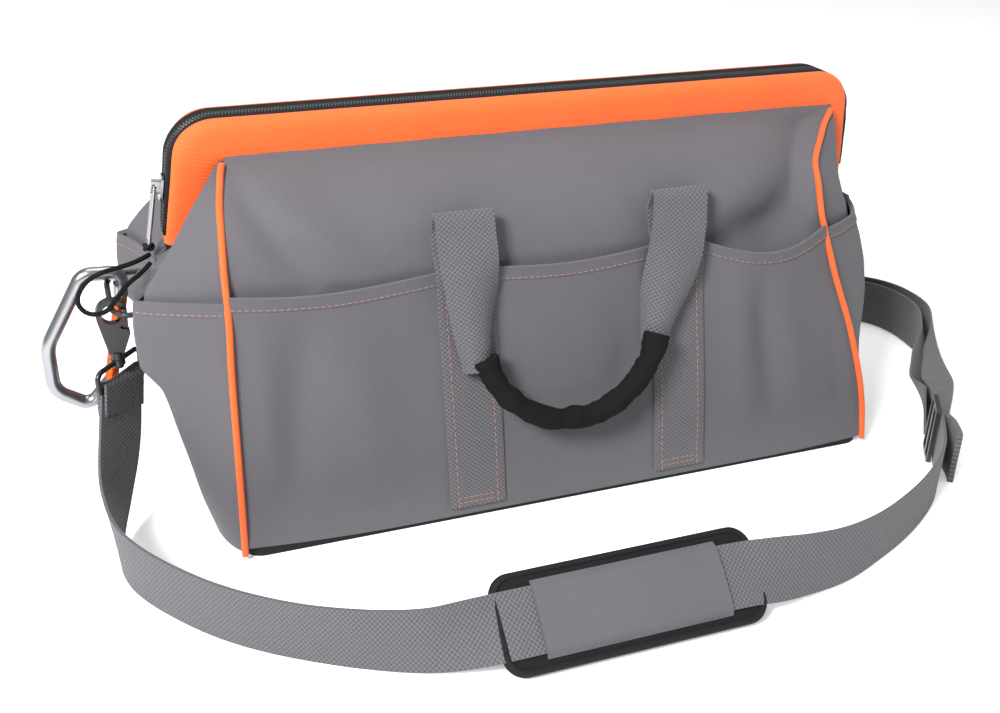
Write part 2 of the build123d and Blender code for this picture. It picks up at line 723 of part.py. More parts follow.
STRAP_LEFT_ROUTE = [
    (-301, -76, 0),
    (-301, -100, 0),
    (-292, -126, 0),
    (-273, -155, 0),
    (-250, -182, 0),
    (-219, -207, 0),
    (-184, -227, 0),
    (-146, -239, 0),
    (-127, -246.5, 0),
]
STRAP_RIGHT_ROUTE = [
    (68, -256, 0),
    (84, -256, 0),
    (118, -248, 0),
    (156, -234, 0),
    (196, -214, 0),
    (232, -188, 0),
    (254, -158, 0),
    (276, -124, 0),
    (304, -90, 0),
    (336, -55, 0),
    (362, -18, 0),
    (375, 22, 0),
    (370, 62, 0),
    (342, 88, 0),
    (308, 88, 0),
    (284, 68, 0),
]
RETURN_ROUTE = [
    (276, -113.5, 0),
    (294, -88, 0),
    (324, -56, 0),
    (350.5, -19, 0),
    (364, 20, 0),
    (359, 57, 0),
    (337, 78, 0),
    (311, 78, 0),
    (291, 61, 0),
]


def standing_strip(route, label):
    """Webbing that stands on its edge along a route on the floor."""
    with BuildPart() as strip:
        with BuildSketch():
            with BuildLine() as line:
                FilletPolyline(*[(x, y) for x, y, _ in route], radius=tangent_radii(route))
            trace(line_width=STRAP_THICK)
        extrude(amount=WEBBING)
    length = line.wire().length
    print(label, "length", round(length, 1), "radii", [round(r) for r in tangent_radii(route)],
          "volume ratio", round(strip.part.volume / (STRAP_THICK * WEBBING * length), 4))
    return strip.part


def straight_strip(start, end, across, width=WEBBING):
    """A straight length of webbing between two points, with its width along across."""
    along = Vector(*end) - Vector(*start)
    with BuildPart() as strip:
        with BuildSketch(Plane(origin=start, x_dir=across, z_dir=along)):
            Rectangle(width, STRAP_THICK)
        extrude(amount=along.length)
    return strip.part


save("strap_front_left", standing_strip(STRAP_LEFT_ROUTE, "strap, left"))
save("strap_front_right", standing_strip(STRAP_RIGHT_ROUTE, "strap, right"))
save("strap_return", standing_strip(RETURN_ROUTE, "strap, return layer"))

left_top = Vector(LEFT_HOOK[0], LEFT_HOOK[1], LEFT_HOOK[2] - HOOK_NECK - LOOP_DROP - 20)
save("strap_left_drop", straight_strip(tuple(left_top), (-299, -55, 30), tuple(LEFT_ACROSS)))
right_top = Vector(RIGHT_HOOK[0], RIGHT_HOOK[1], RIGHT_HOOK[2] - HOOK_NECK - LOOP_DROP - 20)
save("strap_right_rise", straight_strip(tuple(right_top), (276, 50, 22), tuple(RIGHT_ACROSS)))

with BuildPart() as pad_stretch:
    with BuildSketch(PAD_PLANE.offset(-STRAP_THICK / 2)):
        Rectangle(PAD_LENGTH + 26, WEBBING)
    extrude(amount=STRAP_THICK)
save("strap_in_pad", pad_stretch.part)

with BuildPart() as pad_foam:
    with BuildSketch(PAD_PLANE.offset(-PAD_BACK - PAD_THICK)):
        RectangleRounded(PAD_LENGTH, PAD_WIDTH, 14)
    extrude(amount=PAD_THICK)
save("pad_foam", pad_foam.part)

with BuildPart() as pad_sleeve:
    with BuildSketch(PAD_PLANE.offset(-PAD_BACK)):
        RectangleRounded(SLEEVE_LENGTH, SLEEVE_WIDTH, 2)
    extrude(amount=PAD_BACK + 2.9)
    with BuildSketch(PAD_PLANE.offset(-PAD_BACK)):
        Rectangle(SLEEVE_LENGTH + 10, WEBBING + 1.2)
    extrude(amount=2 * PAD_BACK, mode=Mode.SUBTRACT)
save("pad_sleeve", pad_sleeve.part)

# Three-bar adjuster, and the end of the webbing sewn back round its middle bar.
adjuster_along = Vector(*STRAP_RIGHT_ROUTE[7]) - Vector(*STRAP_RIGHT_ROUTE[6])
adjuster_mid = (Vector(*STRAP_RIGHT_ROUTE[7]) + Vector(*STRAP_RIGHT_ROUTE[6])) * 0.5
ADJUSTER_PLANE = Plane(
    origin=(adjuster_mid.X, adjuster_mid.Y, WEBBING / 2 + 3),
    x_dir=adjuster_along,
    z_dir=adjuster_along.cross(Vector(0, 0, 1)),
)
with BuildPart() as adjuster:
    with BuildSketch(ADJUSTER_PLANE.offset(-5.3)):
        RectangleRounded(27, WEBBING + 6, 3)
        for x in (-6.6, 6.6):
            with Locations((x, 0)):
                Rectangle(8.6, WEBBING, mode=Mode.SUBTRACT)
    extrude(amount=3)
save("strap_adjuster", adjuster.part)

with BuildPart() as tail:
    with BuildSketch(Plane.XY):
        with BuildLine():
            base = adjuster_mid + adjuster_along.normalized() * -6
            out = adjuster_along.normalized().cross(Vector(0, 0, 1))
            points = [base + out * 4.2, base - adjuster_along.normalized() * 30 + out * 12.0]
            Line((points[0].X, points[0].Y), (points[1].X, points[1].Y))
        trace(line_width=2 * STRAP_THICK)
    extrude(amount=WEBBING)
save("strap_tail", tail.part)

print(len(parts), "parts")
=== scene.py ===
import math

import bpy
import numpy as np
from mathutils import Matrix, Vector


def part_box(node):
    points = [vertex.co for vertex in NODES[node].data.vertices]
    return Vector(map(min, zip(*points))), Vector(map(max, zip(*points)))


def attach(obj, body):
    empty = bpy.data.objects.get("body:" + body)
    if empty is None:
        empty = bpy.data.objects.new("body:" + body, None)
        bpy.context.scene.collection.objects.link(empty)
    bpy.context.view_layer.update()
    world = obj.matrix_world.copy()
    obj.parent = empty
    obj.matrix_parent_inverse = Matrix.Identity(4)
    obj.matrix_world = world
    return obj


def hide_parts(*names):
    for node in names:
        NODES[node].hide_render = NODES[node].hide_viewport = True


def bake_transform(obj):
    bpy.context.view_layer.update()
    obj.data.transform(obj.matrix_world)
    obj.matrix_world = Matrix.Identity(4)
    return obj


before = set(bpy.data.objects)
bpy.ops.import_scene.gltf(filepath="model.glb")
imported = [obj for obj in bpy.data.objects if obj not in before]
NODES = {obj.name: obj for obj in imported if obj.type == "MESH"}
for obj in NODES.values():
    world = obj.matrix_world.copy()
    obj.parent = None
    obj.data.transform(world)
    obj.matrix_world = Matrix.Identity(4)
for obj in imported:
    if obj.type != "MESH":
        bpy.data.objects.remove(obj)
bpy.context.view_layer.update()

MM = 0.001
CLOTH_THICK = 1.2
HEM_THICK = 0.6
WEBBING_THICK = 1.9
SCENE = bpy.context.scene
rng = np.random.default_rng(11)


# ---- camera, floor and light
def set_camera():
    azimuth, elevation, roll = (math.radians(v) for v in (-20.88, 27.20, 1.34))
    back = Vector((math.sin(azimuth) * math.cos(elevation), -math.cos(azimuth) * math.cos(elevation),
                   math.sin(elevation)))
    right = Vector((math.cos(azimuth), math.sin(azimuth), 0))
    up = back.cross(right)
    rolled_right = right * math.cos(roll) + up * math.sin(roll)
    rolled_up = up * math.cos(roll) - right * math.sin(roll)
    data = bpy.data.cameras.new("camera")
    data.sensor_width = 36
    data.lens = 43.63
    data.clip_start = 0.02
    camera = bpy.data.objects.new("camera", data)
    SCENE.collection.objects.link(camera)
    camera.matrix_world = Matrix((
        (rolled_right.x, rolled_up.x, back.x, -0.300),
        (rolled_right.y, rolled_up.y, back.y, -0.735),
        (rolled_right.z, rolled_up.z, back.z, 0.461),
        (0, 0, 0, 1),
    ))
    SCENE.camera = camera


def area_light(name, at, target, size, power, colour=(1, 1, 1)):
    data = bpy.data.lights.new(name, "AREA")
    data.shape = "RECTANGLE"
    data.size, data.size_y = size
    data.energy = power
    data.color = colour
    lamp = bpy.data.objects.new(name, data)
    SCENE.collection.objects.link(lamp)
    lamp.location = at
    lamp.rotation_euler = (Vector(target) - Vector(at)).to_track_quat("-Z", "Y").to_euler()


# ---- materials
def node(tree, kind, **settings):
    made = tree.nodes.new(kind)
    for key, value in settings.items():
        setattr(made, key, value)
    return made


def maths(tree, operation, first, second=None):
    made = node(tree, "ShaderNodeMath", operation=operation)
    for socket, value in zip(made.inputs, (first, second)):
        if value is None:
            continue
        if isinstance(value, (int, float)):
            socket.default_value = value
        else:
            tree.links.new(value, socket)
    return made.outputs[0]


def noise(tree, vector, scale, detail=2.0):
    made = node(tree, "ShaderNodeTexNoise")
    made.inputs["Scale"].default_value = scale
    made.inputs["Detail"].default_value = detail
    tree.links.new(vector, made.inputs["Vector"])
    return made.outputs["Fac"]


def weave(kind, pitch, depth, contrast):
    """A weave: pitch across and along and depth in metres, and how strongly it shows."""
    return dict(kind=kind, pitch=pitch, depth=depth, contrast=contrast)


def thread_height(tree, uv, pattern):
    """Height of a weave, from -1 to 1, from UVs in metres."""
    split = node(tree, "ShaderNodeSeparateXYZ")
    tree.links.new(uv, split.inputs[0])
    u, v = split.outputs[0], split.outputs[1]
    ku, kv = (2 * math.pi / p for p in pattern["pitch"])
    if pattern["kind"] == "plain":
        across = maths(tree, "SINE", maths(tree, "MULTIPLY", u, ku))
        along = maths(tree, "SINE", maths(tree, "MULTIPLY", v, kv))
        return maths(tree, "MULTIPLY", across, along)
    if pattern["kind"] == "herring":
        zig = maths(tree, "PINGPONG", u, pattern["pitch"][0] * 2)
        slope = maths(tree, "ADD", maths(tree, "MULTIPLY", zig, ku), maths(tree, "MULTIPLY", v, kv))
        return maths(tree, "SINE", slope)
    slope = maths(tree, "ADD", maths(tree, "MULTIPLY", u, ku), maths(tree, "MULTIPLY", v, kv))
    cross = maths(tree, "SINE", maths(tree, "MULTIPLY", u, ku * 0.5))
    return maths(tree, "ADD", maths(tree, "MULTIPLY", maths(tree, "SINE", slope), 0.75),
                 maths(tree, "MULTIPLY", cross, 0.25))


def material(name, colour, rough=0.8, metal=0.0, weave=None, blotch=0.10, grain=0.0, sheen=0.0,
             specular=0.4):
    made = bpy.data.materials.new(name)
    made.use_nodes = True
    tree = made.node_tree
    shader = tree.nodes["Principled BSDF"]
    shader.inputs["Metallic"].default_value = metal
    shader.inputs["Roughness"].default_value = rough
    shader.inputs["Specular IOR Level"].default_value = specular
    shader.inputs["Sheen Weight"].default_value = sheen
    coords = node(tree, "ShaderNodeTexCoord")
    cloudy = noise(tree, coords.outputs["Object"], 22, 3)
    fine = noise(tree, coords.outputs["Object"], 900, 2)
    value = maths(tree, "ADD", 1 - blotch * 0.5, maths(tree, "MULTIPLY", cloudy, blotch))
    height = maths(tree, "MULTIPLY", fine, grain)
    if weave:
        threads = thread_height(tree, coords.outputs["UV"], weave)
        value = maths(tree, "MULTIPLY", value,
                      maths(tree, "ADD", 1, maths(tree, "MULTIPLY", threads, weave["contrast"])))
        height = maths(tree, "ADD", maths(tree, "MULTIPLY", threads, weave["depth"]), height)
    scale = node(tree, "ShaderNodeVectorMath", operation="SCALE")
    scale.inputs[0].default_value = colour
    tree.links.new(value, scale.inputs["Scale"])
    tree.links.new(scale.outputs[0], shader.inputs["Base Color"])
    if weave or grain:
        bump = node(tree, "ShaderNodeBump")
        bump.inputs["Distance"].default_value = 1.0
        bump.inputs["Strength"].default_value = 1.0
        tree.links.new(height, bump.inputs["Height"])
        tree.links.new(bump.outputs[0], shader.inputs["Normal"])
    made.diffuse_color = (*colour, 1)
    return made


GREY = (0.086, 0.083, 0.093)
CLOTH = material("cloth_grey", GREY, 0.78, sheen=0.08, blotch=0.12,
                 weave=weave("twill", (0.0011, 0.0008), 0.00005, 0.13), grain=0.00003)
CLOTH_DARK = material("cloth_lining", (0.030, 0.030, 0.034), 0.9,
                      weave=weave("twill", (0.0011, 0.0008), 0.00003, 0.1))
WEBBING = material("webbing_grey", (0.086, 0.083, 0.092), 0.82, sheen=0.1, blotch=0.12,
                   weave=weave("plain", (0.0034, 0.0029), 0.00024, 0.40), grain=0.00004)
ORANGE = material("webbing_orange", (0.76, 0.108, 0.016), 0.75, sheen=0.12, blotch=0.10,
                  weave=weave("plain", (0.0026, 0.0021), 0.00012, 0.16), grain=0.00005)
PIPING = material("piping_orange", (0.74, 0.100, 0.014), 0.7, sheen=0.1,
                  weave=weave("twill", (0.0011, 0.0010), 0.00005, 0.12), grain=0.00003)
STITCH = material("stitch_orange", (0.40, 0.190, 0.135), 0.7)
ZIP_TAPE = material("zip_tape_black", (0.009, 0.009, 0.010), 0.8, specular=0.2,
                    weave=weave("herring", (0.0012, 0.0010), 0.00006, 0.35))
COIL = material("zip_coil", (0.022, 0.022, 0.024), 0.42, specular=0.5)
FELT = material("grip_black", (0.007, 0.007, 0.007), 0.95, specular=0.12, grain=0.0004, blotch=0.4)
FOAM = material("foam_black", (0.007, 0.007, 0.008), 0.8, specular=0.2, grain=0.00010, blotch=0.2)
BASE = material("base_black", (0.007, 0.007, 0.008), 0.7, specular=0.2, grain=0.00012, blotch=0.2)
CORD = material("cord_black", (0.009, 0.009, 0.010), 0.8, specular=0.2,
                weave=weave("twill", (0.0014, 0.0014), 0.00012, 0.35))
CHROME = material("zip_chrome", (0.36, 0.36, 0.37), 0.24, metal=1.0, blotch=0.04)
ALLOY = material("carabiner_metal", (0.34, 0.35, 0.37), 0.28, metal=1.0, blotch=0.06)
ANODISED = material("gate_orange", (0.72, 0.10, 0.012), 0.28, metal=0.85, blotch=0.05)
BLACK_METAL = material("steel_black", (0.010, 0.010, 0.011), 0.30, specular=0.6, blotch=0.3)
BLACK_PLASTIC = material("plastic_black", (0.020, 0.020, 0.022), 0.35, specular=0.5)
FLOOR = material("floor", (0.90, 0.90, 0.90), 0.9, blotch=0.0)
FLOOR_SHADER = FLOOR.node_tree.nodes["Principled BSDF"]
FLOOR_SHADER.inputs["Emission Color"].default_value = (1, 1, 1, 1)
FLOOR_SHADER.inputs["Emission Strength"].default_value = 0.30


# ---- geometry helpers (millimetres)
def unit(vectors):
    return vectors / np.maximum(np.linalg.norm(vectors, axis=-1, keepdims=True), 1e-9)


def curve_at(keys, values, at):
    """A smooth monotone curve through values at keys, read at every entry of at."""
    keys, values, at = np.asarray(keys, float), np.asarray(values, float), np.asarray(at, float)
    flat = values.ndim == 1
    if flat:
        values = values[:, None]
    gap = np.diff(keys)[:, None]
    slope = np.diff(values, axis=0) / gap
    tangent = np.vstack([slope[:1], (slope[:-1] + slope[1:]) / 2, slope[-1:]])
    inner = slope[:-1] * slope[1:]
    total = slope[:-1] + slope[1:] + 1e-12 * np.sign(slope[:-1])
    tangent[1:-1] = np.divide(2 * inner, total, out=np.zeros_like(inner), where=inner > 0)
    shape = at.shape
    at = np.clip(at.ravel(), keys[0], keys[-1])
    cell = np.clip(np.searchsorted(keys, at, side="right") - 1, 0, len(keys) - 2)
    width = gap[cell]
    t = ((at - keys[cell])[:, None]) / width
    result = ((2 * t**3 - 3 * t**2 + 1) * values[cell] + (t**3 - 2 * t**2 + t) * width * tangent[cell]
              + (-2 * t**3 + 3 * t**2) * values[cell + 1] + (t**3 - t**2) * width * tangent[cell + 1])
    return result[:, 0].reshape(shape) if flat else result.reshape(*shape, -1)


def lengths(points, axis=0):
    """Length run so far along an axis of a line, or of a grid of points."""
    steps = np.linalg.norm(np.diff(points, axis=axis), axis=-1)
    return np.insert(np.cumsum(steps, axis), 0, 0.0, axis)


def read_along(points, along, at):
    """Every column of a table of points, read at places along it."""
    return np.stack([np.interp(at, along, column) for column in np.transpose(points)], axis=-1)


def resample(points, step):
    """Points evenly spaced along a polyline."""
    points = np.asarray(points, float)
    along = lengths(points)
    count = max(2, int(round(along[-1] / step)) + 1)
    at = np.linspace(0, along[-1], count)
    return read_along(points, along, at)


def smooth_line(points, step=3.0):
    """A smooth line through points, evenly spaced."""
    points = np.asarray(points, float)
    along = lengths(points)
    at = np.linspace(0, along[-1], int(along[-1]) + 2)
    return resample(curve_at(along, points, at), step)


def soften(values, passes, axis=0):
    """Averages along an axis, which keeps both ends."""
    values = np.moveaxis(values.copy(), axis, 0)
    for _ in range(passes):
        values[1:-1] = (values[:-2] + 2 * values[1:-1] + values[2:]) / 4
    return np.moveaxis(values, 0, axis)


def make_object(name, points, faces, uvs, surface, sharp=40):
    mesh = bpy.data.meshes.new(name)
    mesh.from_pydata((np.asarray(points) * MM).tolist(), [], faces)
    layer = mesh.uv_layers.new(name="UVMap")
    which = np.zeros(len(mesh.loops), np.int32)
    mesh.loops.foreach_get("vertex_index", which)
    layer.data.foreach_set("uv", (np.asarray(uvs)[which] * MM).astype(np.float32).ravel())
    mesh.materials.append(surface)
    mesh.validate()
    mesh.shade_smooth()
    mesh.set_sharp_from_angle(angle=math.radians(sharp))
    made = bpy.data.objects.new(name, mesh)
    SCENE.collection.objects.link(made)
    return made


def grid_normals(grid):
    down = np.gradient(grid, axis=0)
    across = np.gradient(grid, axis=1)
    return unit(np.cross(across, down))


def shell(name, grid, thick, surface, flip=False, sharp=40):
    """A sheet of cloth with its outer face on a grid of points and its thickness behind it."""
    rows, columns = grid.shape[:2]
    normals = grid_normals(grid) * (-1 if flip else 1)
    points = np.concatenate([grid.reshape(-1, 3), (grid - normals * thick).reshape(-1, 3)])
    size = rows * columns
    index = np.arange(size).reshape(rows, columns)
    quads = np.stack([index[:-1, :-1], index[:-1, 1:], index[1:, 1:], index[1:, :-1]], -1)
    quads = quads.reshape(-1, 4)
    border = np.concatenate([index[0, :-1], index[:-1, -1], index[-1, :0:-1], index[:0:-1, 0]])
    after = np.roll(border, -1)
    rim = np.stack([after, border, border + size, after + size], -1)
    faces = np.concatenate([quads, (quads + size)[:, ::-1], rim])
    if flip:
        faces = faces[:, ::-1]
    middle = columns // 2
    u = lengths(grid, 1)
    u = u - u[:, middle:middle + 1]
    uvs = np.stack([u, lengths(grid)], -1).reshape(-1, 2)
    return make_object(name, points, faces.tolist(), np.concatenate([uvs, uvs]), surface, sharp)


def loft(name, rings, surface, sharp=60, ring_loop=False, u_values=None):
    """A closed skin over rings of points; ring_loop joins the last ring to the first."""
    rings = np.asarray(rings, float)
    count, around = rings.shape[:2]
    index = np.arange(count * around).reshape(count, around)
    following = np.roll(index, -1, axis=1)
    if ring_loop:
        below, below_next = np.roll(index, -1, axis=0), np.roll(following, -1, axis=0)
        quads = np.stack([index, following, below_next, below], -1).reshape(-1, 4).tolist()
    else:
        quads = np.stack([index[:-1], following[:-1], following[1:], index[1:]], -1)
        quads = quads.reshape(-1, 4).tolist() + [index[0, ::-1].tolist(), index[-1].tolist()]
    u = np.linalg.norm(np.diff(rings, axis=1, append=rings[:, :1]), axis=2).cumsum(1)
    if u_values is not None:
        u = np.broadcast_to(u_values, (count, around))
    v = np.broadcast_to(lengths(rings.mean(1))[:, None], (count, around))
    uvs = np.stack([u, v], -1).reshape(-1, 2)
    return make_object(name, rings.reshape(-1, 3), quads, uvs, surface, sharp)


def carried(points, start):
    """Directions square to a line, carried along it without twist from a starting direction."""
    tangents = unit(np.gradient(points, axis=0))
    side = np.asarray(start, float)
    sides = []
    for tangent in tangents:
        side = side - tangent * np.dot(side, tangent)
        side = side / np.linalg.norm(side)
        sides.append(side)
    return tangents, np.array(sides)


def tube(name, points, radius, surface, sides=12, start=(0, 0, 1), flat=1.0, ring_loop=False):
    """A round skin along a line; start is a direction square to its beginning."""
    points = np.asarray(points, float)
    tangents, across = carried(points, start)
    normal = np.cross(tangents, across)
    radius = np.broadcast_to(radius, (len(points),))[:, None, None]
    angle = np.linspace(0, 2 * math.pi, sides, endpoint=False)
    ring = (np.cos(angle)[None, :, None] * across[:, None]
            + np.sin(angle)[None, :, None] * normal[:, None] * flat)
    return loft(name, points[:, None] + ring * radius, surface, ring_loop=ring_loop)


def strip(name, points, across, width, thick, surface, curl=None, sharp=50, segments=8):
    """Webbing along a line. across is its width direction, and curl the radius it curls to."""
    points = np.asarray(points, float)
    tangents = unit(np.gradient(points, axis=0))
    across = np.broadcast_to(np.asarray(across, float), points.shape)
    across = unit(across - tangents * np.sum(across * tangents, axis=1, keepdims=True))
    normal = np.cross(tangents, across)
    width = np.broadcast_to(width, (len(points),))[:, None]
    curl = np.broadcast_to(1e6 if curl is None else curl, (len(points),))[:, None]
    half = np.linspace(-0.5, 0.5, segments + 1)[None, :] * width
    rings = []
    for level in (thick / 2, -thick / 2):
        radius = curl - level
        side = (radius * np.sin(half / curl))[..., None] * across[:, None]
        lift = (curl - radius * np.cos(half / curl))[..., None] * normal[:, None]
        row = points[:, None] + side + lift
        rings.append(row if level > 0 else row[:, ::-1])
    u = np.concatenate([half[0], half[0, ::-1]])
    return loft(name, np.concatenate(rings, axis=1), surface, sharp=sharp, u_values=u)


def bar_faces(base, rings):
    """Faces of a closed four-sided bar whose rings of points follow each other from base."""
    faces = [[base + low + k, base + low + (k + 1) % 4, base + low + 4 + (k + 1) % 4, base + low + 4 + k]
             for low in range(0, 4 * (rings - 1), 4) for k in range(4)]
    last = base + 4 * (rings - 1)
    return faces + [[base + 3, base + 2, base + 1, base], [last, last + 1, last + 2, last + 3]]


def stitches(name, points, normals, surface=STITCH, stitch=2.6, gap=1.5, thick=0.55):
    """A row of stitches, each a small rounded bar lying on a surface."""
    points, normals = np.asarray(points, float), np.asarray(normals, float)
    lift = 0.1
    along = lengths(points)
    ring = np.array([(0.7, 0.7), (-0.7, 0.7), (-0.7, -0.7), (0.7, -0.7)]) * thick / 2
    verts, faces = [], []
    for start in np.arange(0, along[-1] - stitch, stitch + gap):
        first, last = read_along(points, along, start), read_along(points, along, start + stitch)
        up = unit(read_along(normals, along, start))
        side = np.cross(unit(last - first), up)
        faces += bar_faces(len(verts), 3)
        for spot, grow in ((first, 0.45), ((first + last) / 2, 1.0), (last, 0.45)):
            verts += [spot + side * a + up * (b + lift) for a, b in ring * grow]
    return make_object(name, verts, faces, np.zeros((len(verts), 2)), surface, 80)


def rounded(points, radius, step=2.5, closed=False):
    """A flat path with rounded corners, evenly spaced."""
    points = [np.asarray(p, float) for p in points]
    if closed:
        corners = list(zip(points[-1:] + points[:-1], points, points[1:] + points[:1]))
    else:
        corners = list(zip(points, points[1:], points[2:]))
    path = [] if closed else [points[0]]
    for before, at, after in corners:
        arriving, leaving = unit(before - at), unit(after - at)
        half = math.acos(np.clip(np.dot(arriving, leaving), -1, 1)) / 2
        reach = radius / math.tan(half)
        centre = at + unit(arriving + leaving) * radius / math.sin(half)
        first, last = at + arriving * reach - centre, at + leaving * reach - centre
        sweep = math.acos(np.clip(np.dot(unit(first), unit(last)), -1, 1))
        for t in np.linspace(0, 1, max(3, int(sweep * radius / step) + 2)):
            turned = first * math.sin((1 - t) * sweep) + last * math.sin(t * sweep)
            path.append(centre + turned / math.sin(sweep))
    path.append(path[0] if closed else points[-1])
    return resample(np.array(path), step)


def nurbs_curve(name, points, resolution):
    """A curve object whose NURBS line has points as its control points."""
    data = bpy.data.curves.new(name, "CURVE")
    data.dimensions = "3D"
    line = data.splines.new("NURBS")
    line.points.add(len(points) - 1)
    for spot, point in zip(line.points, points):
        spot.co = (*[c * MM for c in point], 1)
    line.order_u = 3
    line.use_endpoint_u = True
    line.resolution_u = resolution
    made = bpy.data.objects.new(name, data)
    SCENE.collection.objects.link(made)
    return made


def nurbs(points):
    """Points along the NURBS line that has points as its control points."""
    holder = nurbs_curve("route", points, 16)
    bpy.context.view_layer.update()
    mesh = bpy.data.meshes.new_from_object(holder)
    line = np.array([v.co for v in mesh.vertices]) / MM
    bpy.data.objects.remove(holder)
    bpy.data.meshes.remove(mesh)
    return line


def spread(controls, values, points):
    """Values given at control points, read smoothly along the line that the controls make."""
    controls, points = np.asarray(controls, float), np.asarray(points, float)
    along = lengths(points)
    keys = [along[np.argmin(np.linalg.norm(points - c, axis=1))] for c in controls]
    keys = np.maximum.accumulate(np.array(keys) + np.arange(len(keys)) * 1e-3)
    return curve_at(keys, values, along)


def place(piece, body, slot, *replaced):
    """Puts a piece under its body's empty and hides the CAD nodes that it stands for; slot is not used.
    """
    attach(piece, body)
    if replaced:
        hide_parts(*replaced)
    return piece


def blend_to_mouth(piece):
    """Bakes the piece's transform into its mesh; the cloth is not moved towards the body or the mouth
    frame.
    """
    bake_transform(piece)


# ---- outline of the bag
# Depth of the pocket's outer face from the middle plane, at each height.
FACE_Z = [2, 12, 44, 75, 105, 135, 166, 176]
FACE_Y = [107.6, 107.0, 102.5, 96.5, 89.5, 83.0, 78.5, 77.0]
# The same for the wall above and behind the pocket, up to the mouth band.
WALL_Z = [120, 140, 160, 176, 190, 200, 210, 218, 224, 230]
WALL_Y = [80.5, 77.0, 73.5, 69.5, 64.0, 57.0, 45.5, 33.5, 23.5, 16.0]
# The front seams from the middle: the left one is nearly straight, the right one bows in.
LEFT_SEAM_Z = [2, 76, 126, 148, 176, 205, 222, 230]
LEFT_SEAM_X = [-226, -223.5, -221.5, -220, -219, -216, -211, -207]
RIGHT_SEAM_Z = [2, 34, 87, 139, 173, 198, 218, 230]
RIGHT_SEAM_X = [225, 222, 210, 193, 186, 187, 205, 224]
# Depth of the base tray's face, which the pocket cloth stays in front of.
TRAY_FACE = -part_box("base_tray")[0][1] / MM
# Folds of the wall and the pocket: from (x, z), to (x, z), half width, height.
WALL_FOLDS = (
    ((-205, 238), (-120, 150), 15, 4.6),
    ((-214, 228), (-165, 160), 9, -4.6),
    ((236, 252), (138, 148), 19, -13.0),
    ((214, 236), (182, 165), 8, 5.0),
    ((168, 236), (95, 165), 16, 4.2),
    ((-40, 205), (60, 168), 26, 1.5),
    ((95, 160), (192, 166), 15, -8.0),
    ((-110, 205), (-60, 205), 12, 1.0),
)
POCKET_FOLDS = (
    ((-176, 160), (-196, 20), 15, -4.5),
    ((-150, 150), (-140, 20), 20, 3.2),
    ((-207, 158), (-203, 40), 9, 2.2),
    ((-20, 150), (-8, 20), 30, 2.0),
    ((30, 140), (38, 30), 12, -1.8),
    ((118, 152), (128, 20), 13, 3.6),
    ((150, 150), (176, 25), 14, 3.2),
    ((134, 150), (150, 30), 9, -3.4),
    ((196, 120), (206, 20), 8, -2.0),
)
# Between these places along the bag the pocket's hem is not sewn down.
HEM_SPANS = ((-221, -93), (-55, 55), (93, 192))


def face_depth(z):
    return curve_at(FACE_Z, FACE_Y, z)


def wall_depth(z):
    return curve_at(WALL_Z, WALL_Y, z)


def seam_x(side, z, front=True):
    if side < 0:
        return curve_at(LEFT_SEAM_Z, LEFT_SEAM_X, z)
    if front:
        return curve_at(RIGHT_SEAM_Z, RIGHT_SEAM_X, z)
    return -curve_at(LEFT_SEAM_Z, LEFT_SEAM_X, z)


def ridge(x, z, start, end, width, height):
    """A soft fold on a wall, from one (x, z) to another, which fades at both ends."""
    a, b = np.array(start, float), np.array(end, float)
    run = b - a
    length = np.linalg.norm(run)
    run /= length
    along = ((x - a[0]) * run[0] + (z - a[1]) * run[1]) / length
    off = (x - a[0]) * run[1] - (z - a[1]) * run[0]
    fade = np.clip(1 - np.abs(2 * np.clip(along, -0.5, 1.5) - 1) ** 2.0, 0, 1)
    return height * fade * np.exp(-(off / width) ** 2)


def pocket_folds(x, z, front):
    """How far the pocket cloth stands off its plain face."""
    low = np.clip(z / 160, 0, 1)
    out = 2.0 * np.sin((x + 30) / 38.0) * low * np.exp(-((np.abs(x) - 150) / 60) ** 2)
    for fold in POCKET_FOLDS:
        out += ridge(x, z, *fold)
    return out if front else out[:, ::-1]


def hem_arches(x, heights):
    """An arch of a given height over each of the spans where the hem is free."""
    total = np.zeros_like(x)
    for (low, high), height in zip(HEM_SPANS, heights):
        part = np.clip((x - low) / (high - low), 0, 1)
        total += height * np.sin(math.pi * part)
    return total


def hem_height(x):
    """Height of the pocket's hem, which sags between the places where it is sewn down."""
    return 164.5 - 1.0 * np.exp(-((x + 74) / 60) ** 2) - hem_arches(x, (3.5, 3.0, 10.0))


def hem_stand(x, front):
    """How far the hem stands off the wall, which is most at the gaping right pocket."""
    return hem_arches(x, (3.0, 2.4, 14.0 if front else 4.0))


# ---- long walls and pockets
def wall_grid(front, rows=90, columns=150):
    """The long wall from behind the pocket's hem up to the mouth band."""
    z = np.linspace(122, 230, rows)[:, None] * np.ones((1, columns))
    across = np.linspace(0, 1, columns)[None, :]
    x = seam_x(-1, z, front) * (1 - across) + seam_x(1, z, front) * across
    plain = wall_depth(z)
    depth = plain
    for fold in WALL_FOLDS:
        depth = depth + ridge(x, z, *fold)
    depth = depth + 0.7 * np.sin(x / 19 + z / 33) * np.sin(math.pi * np.clip((z - 150) / 75, 0, 1))
    # The folds fade out at the seams and at the band, where the cloth is sewn.
    free = np.minimum(np.clip((1 - np.abs(2 * across - 1)) * 14, 0, 1), np.clip((230 - z) / 13, 0, 1))
    free = free * (1.0 if front else 0.6)
    depth = plain + (depth - plain) * free * free * (3 - 2 * free)
    return np.stack([x, (-depth if front else depth), z], -1)


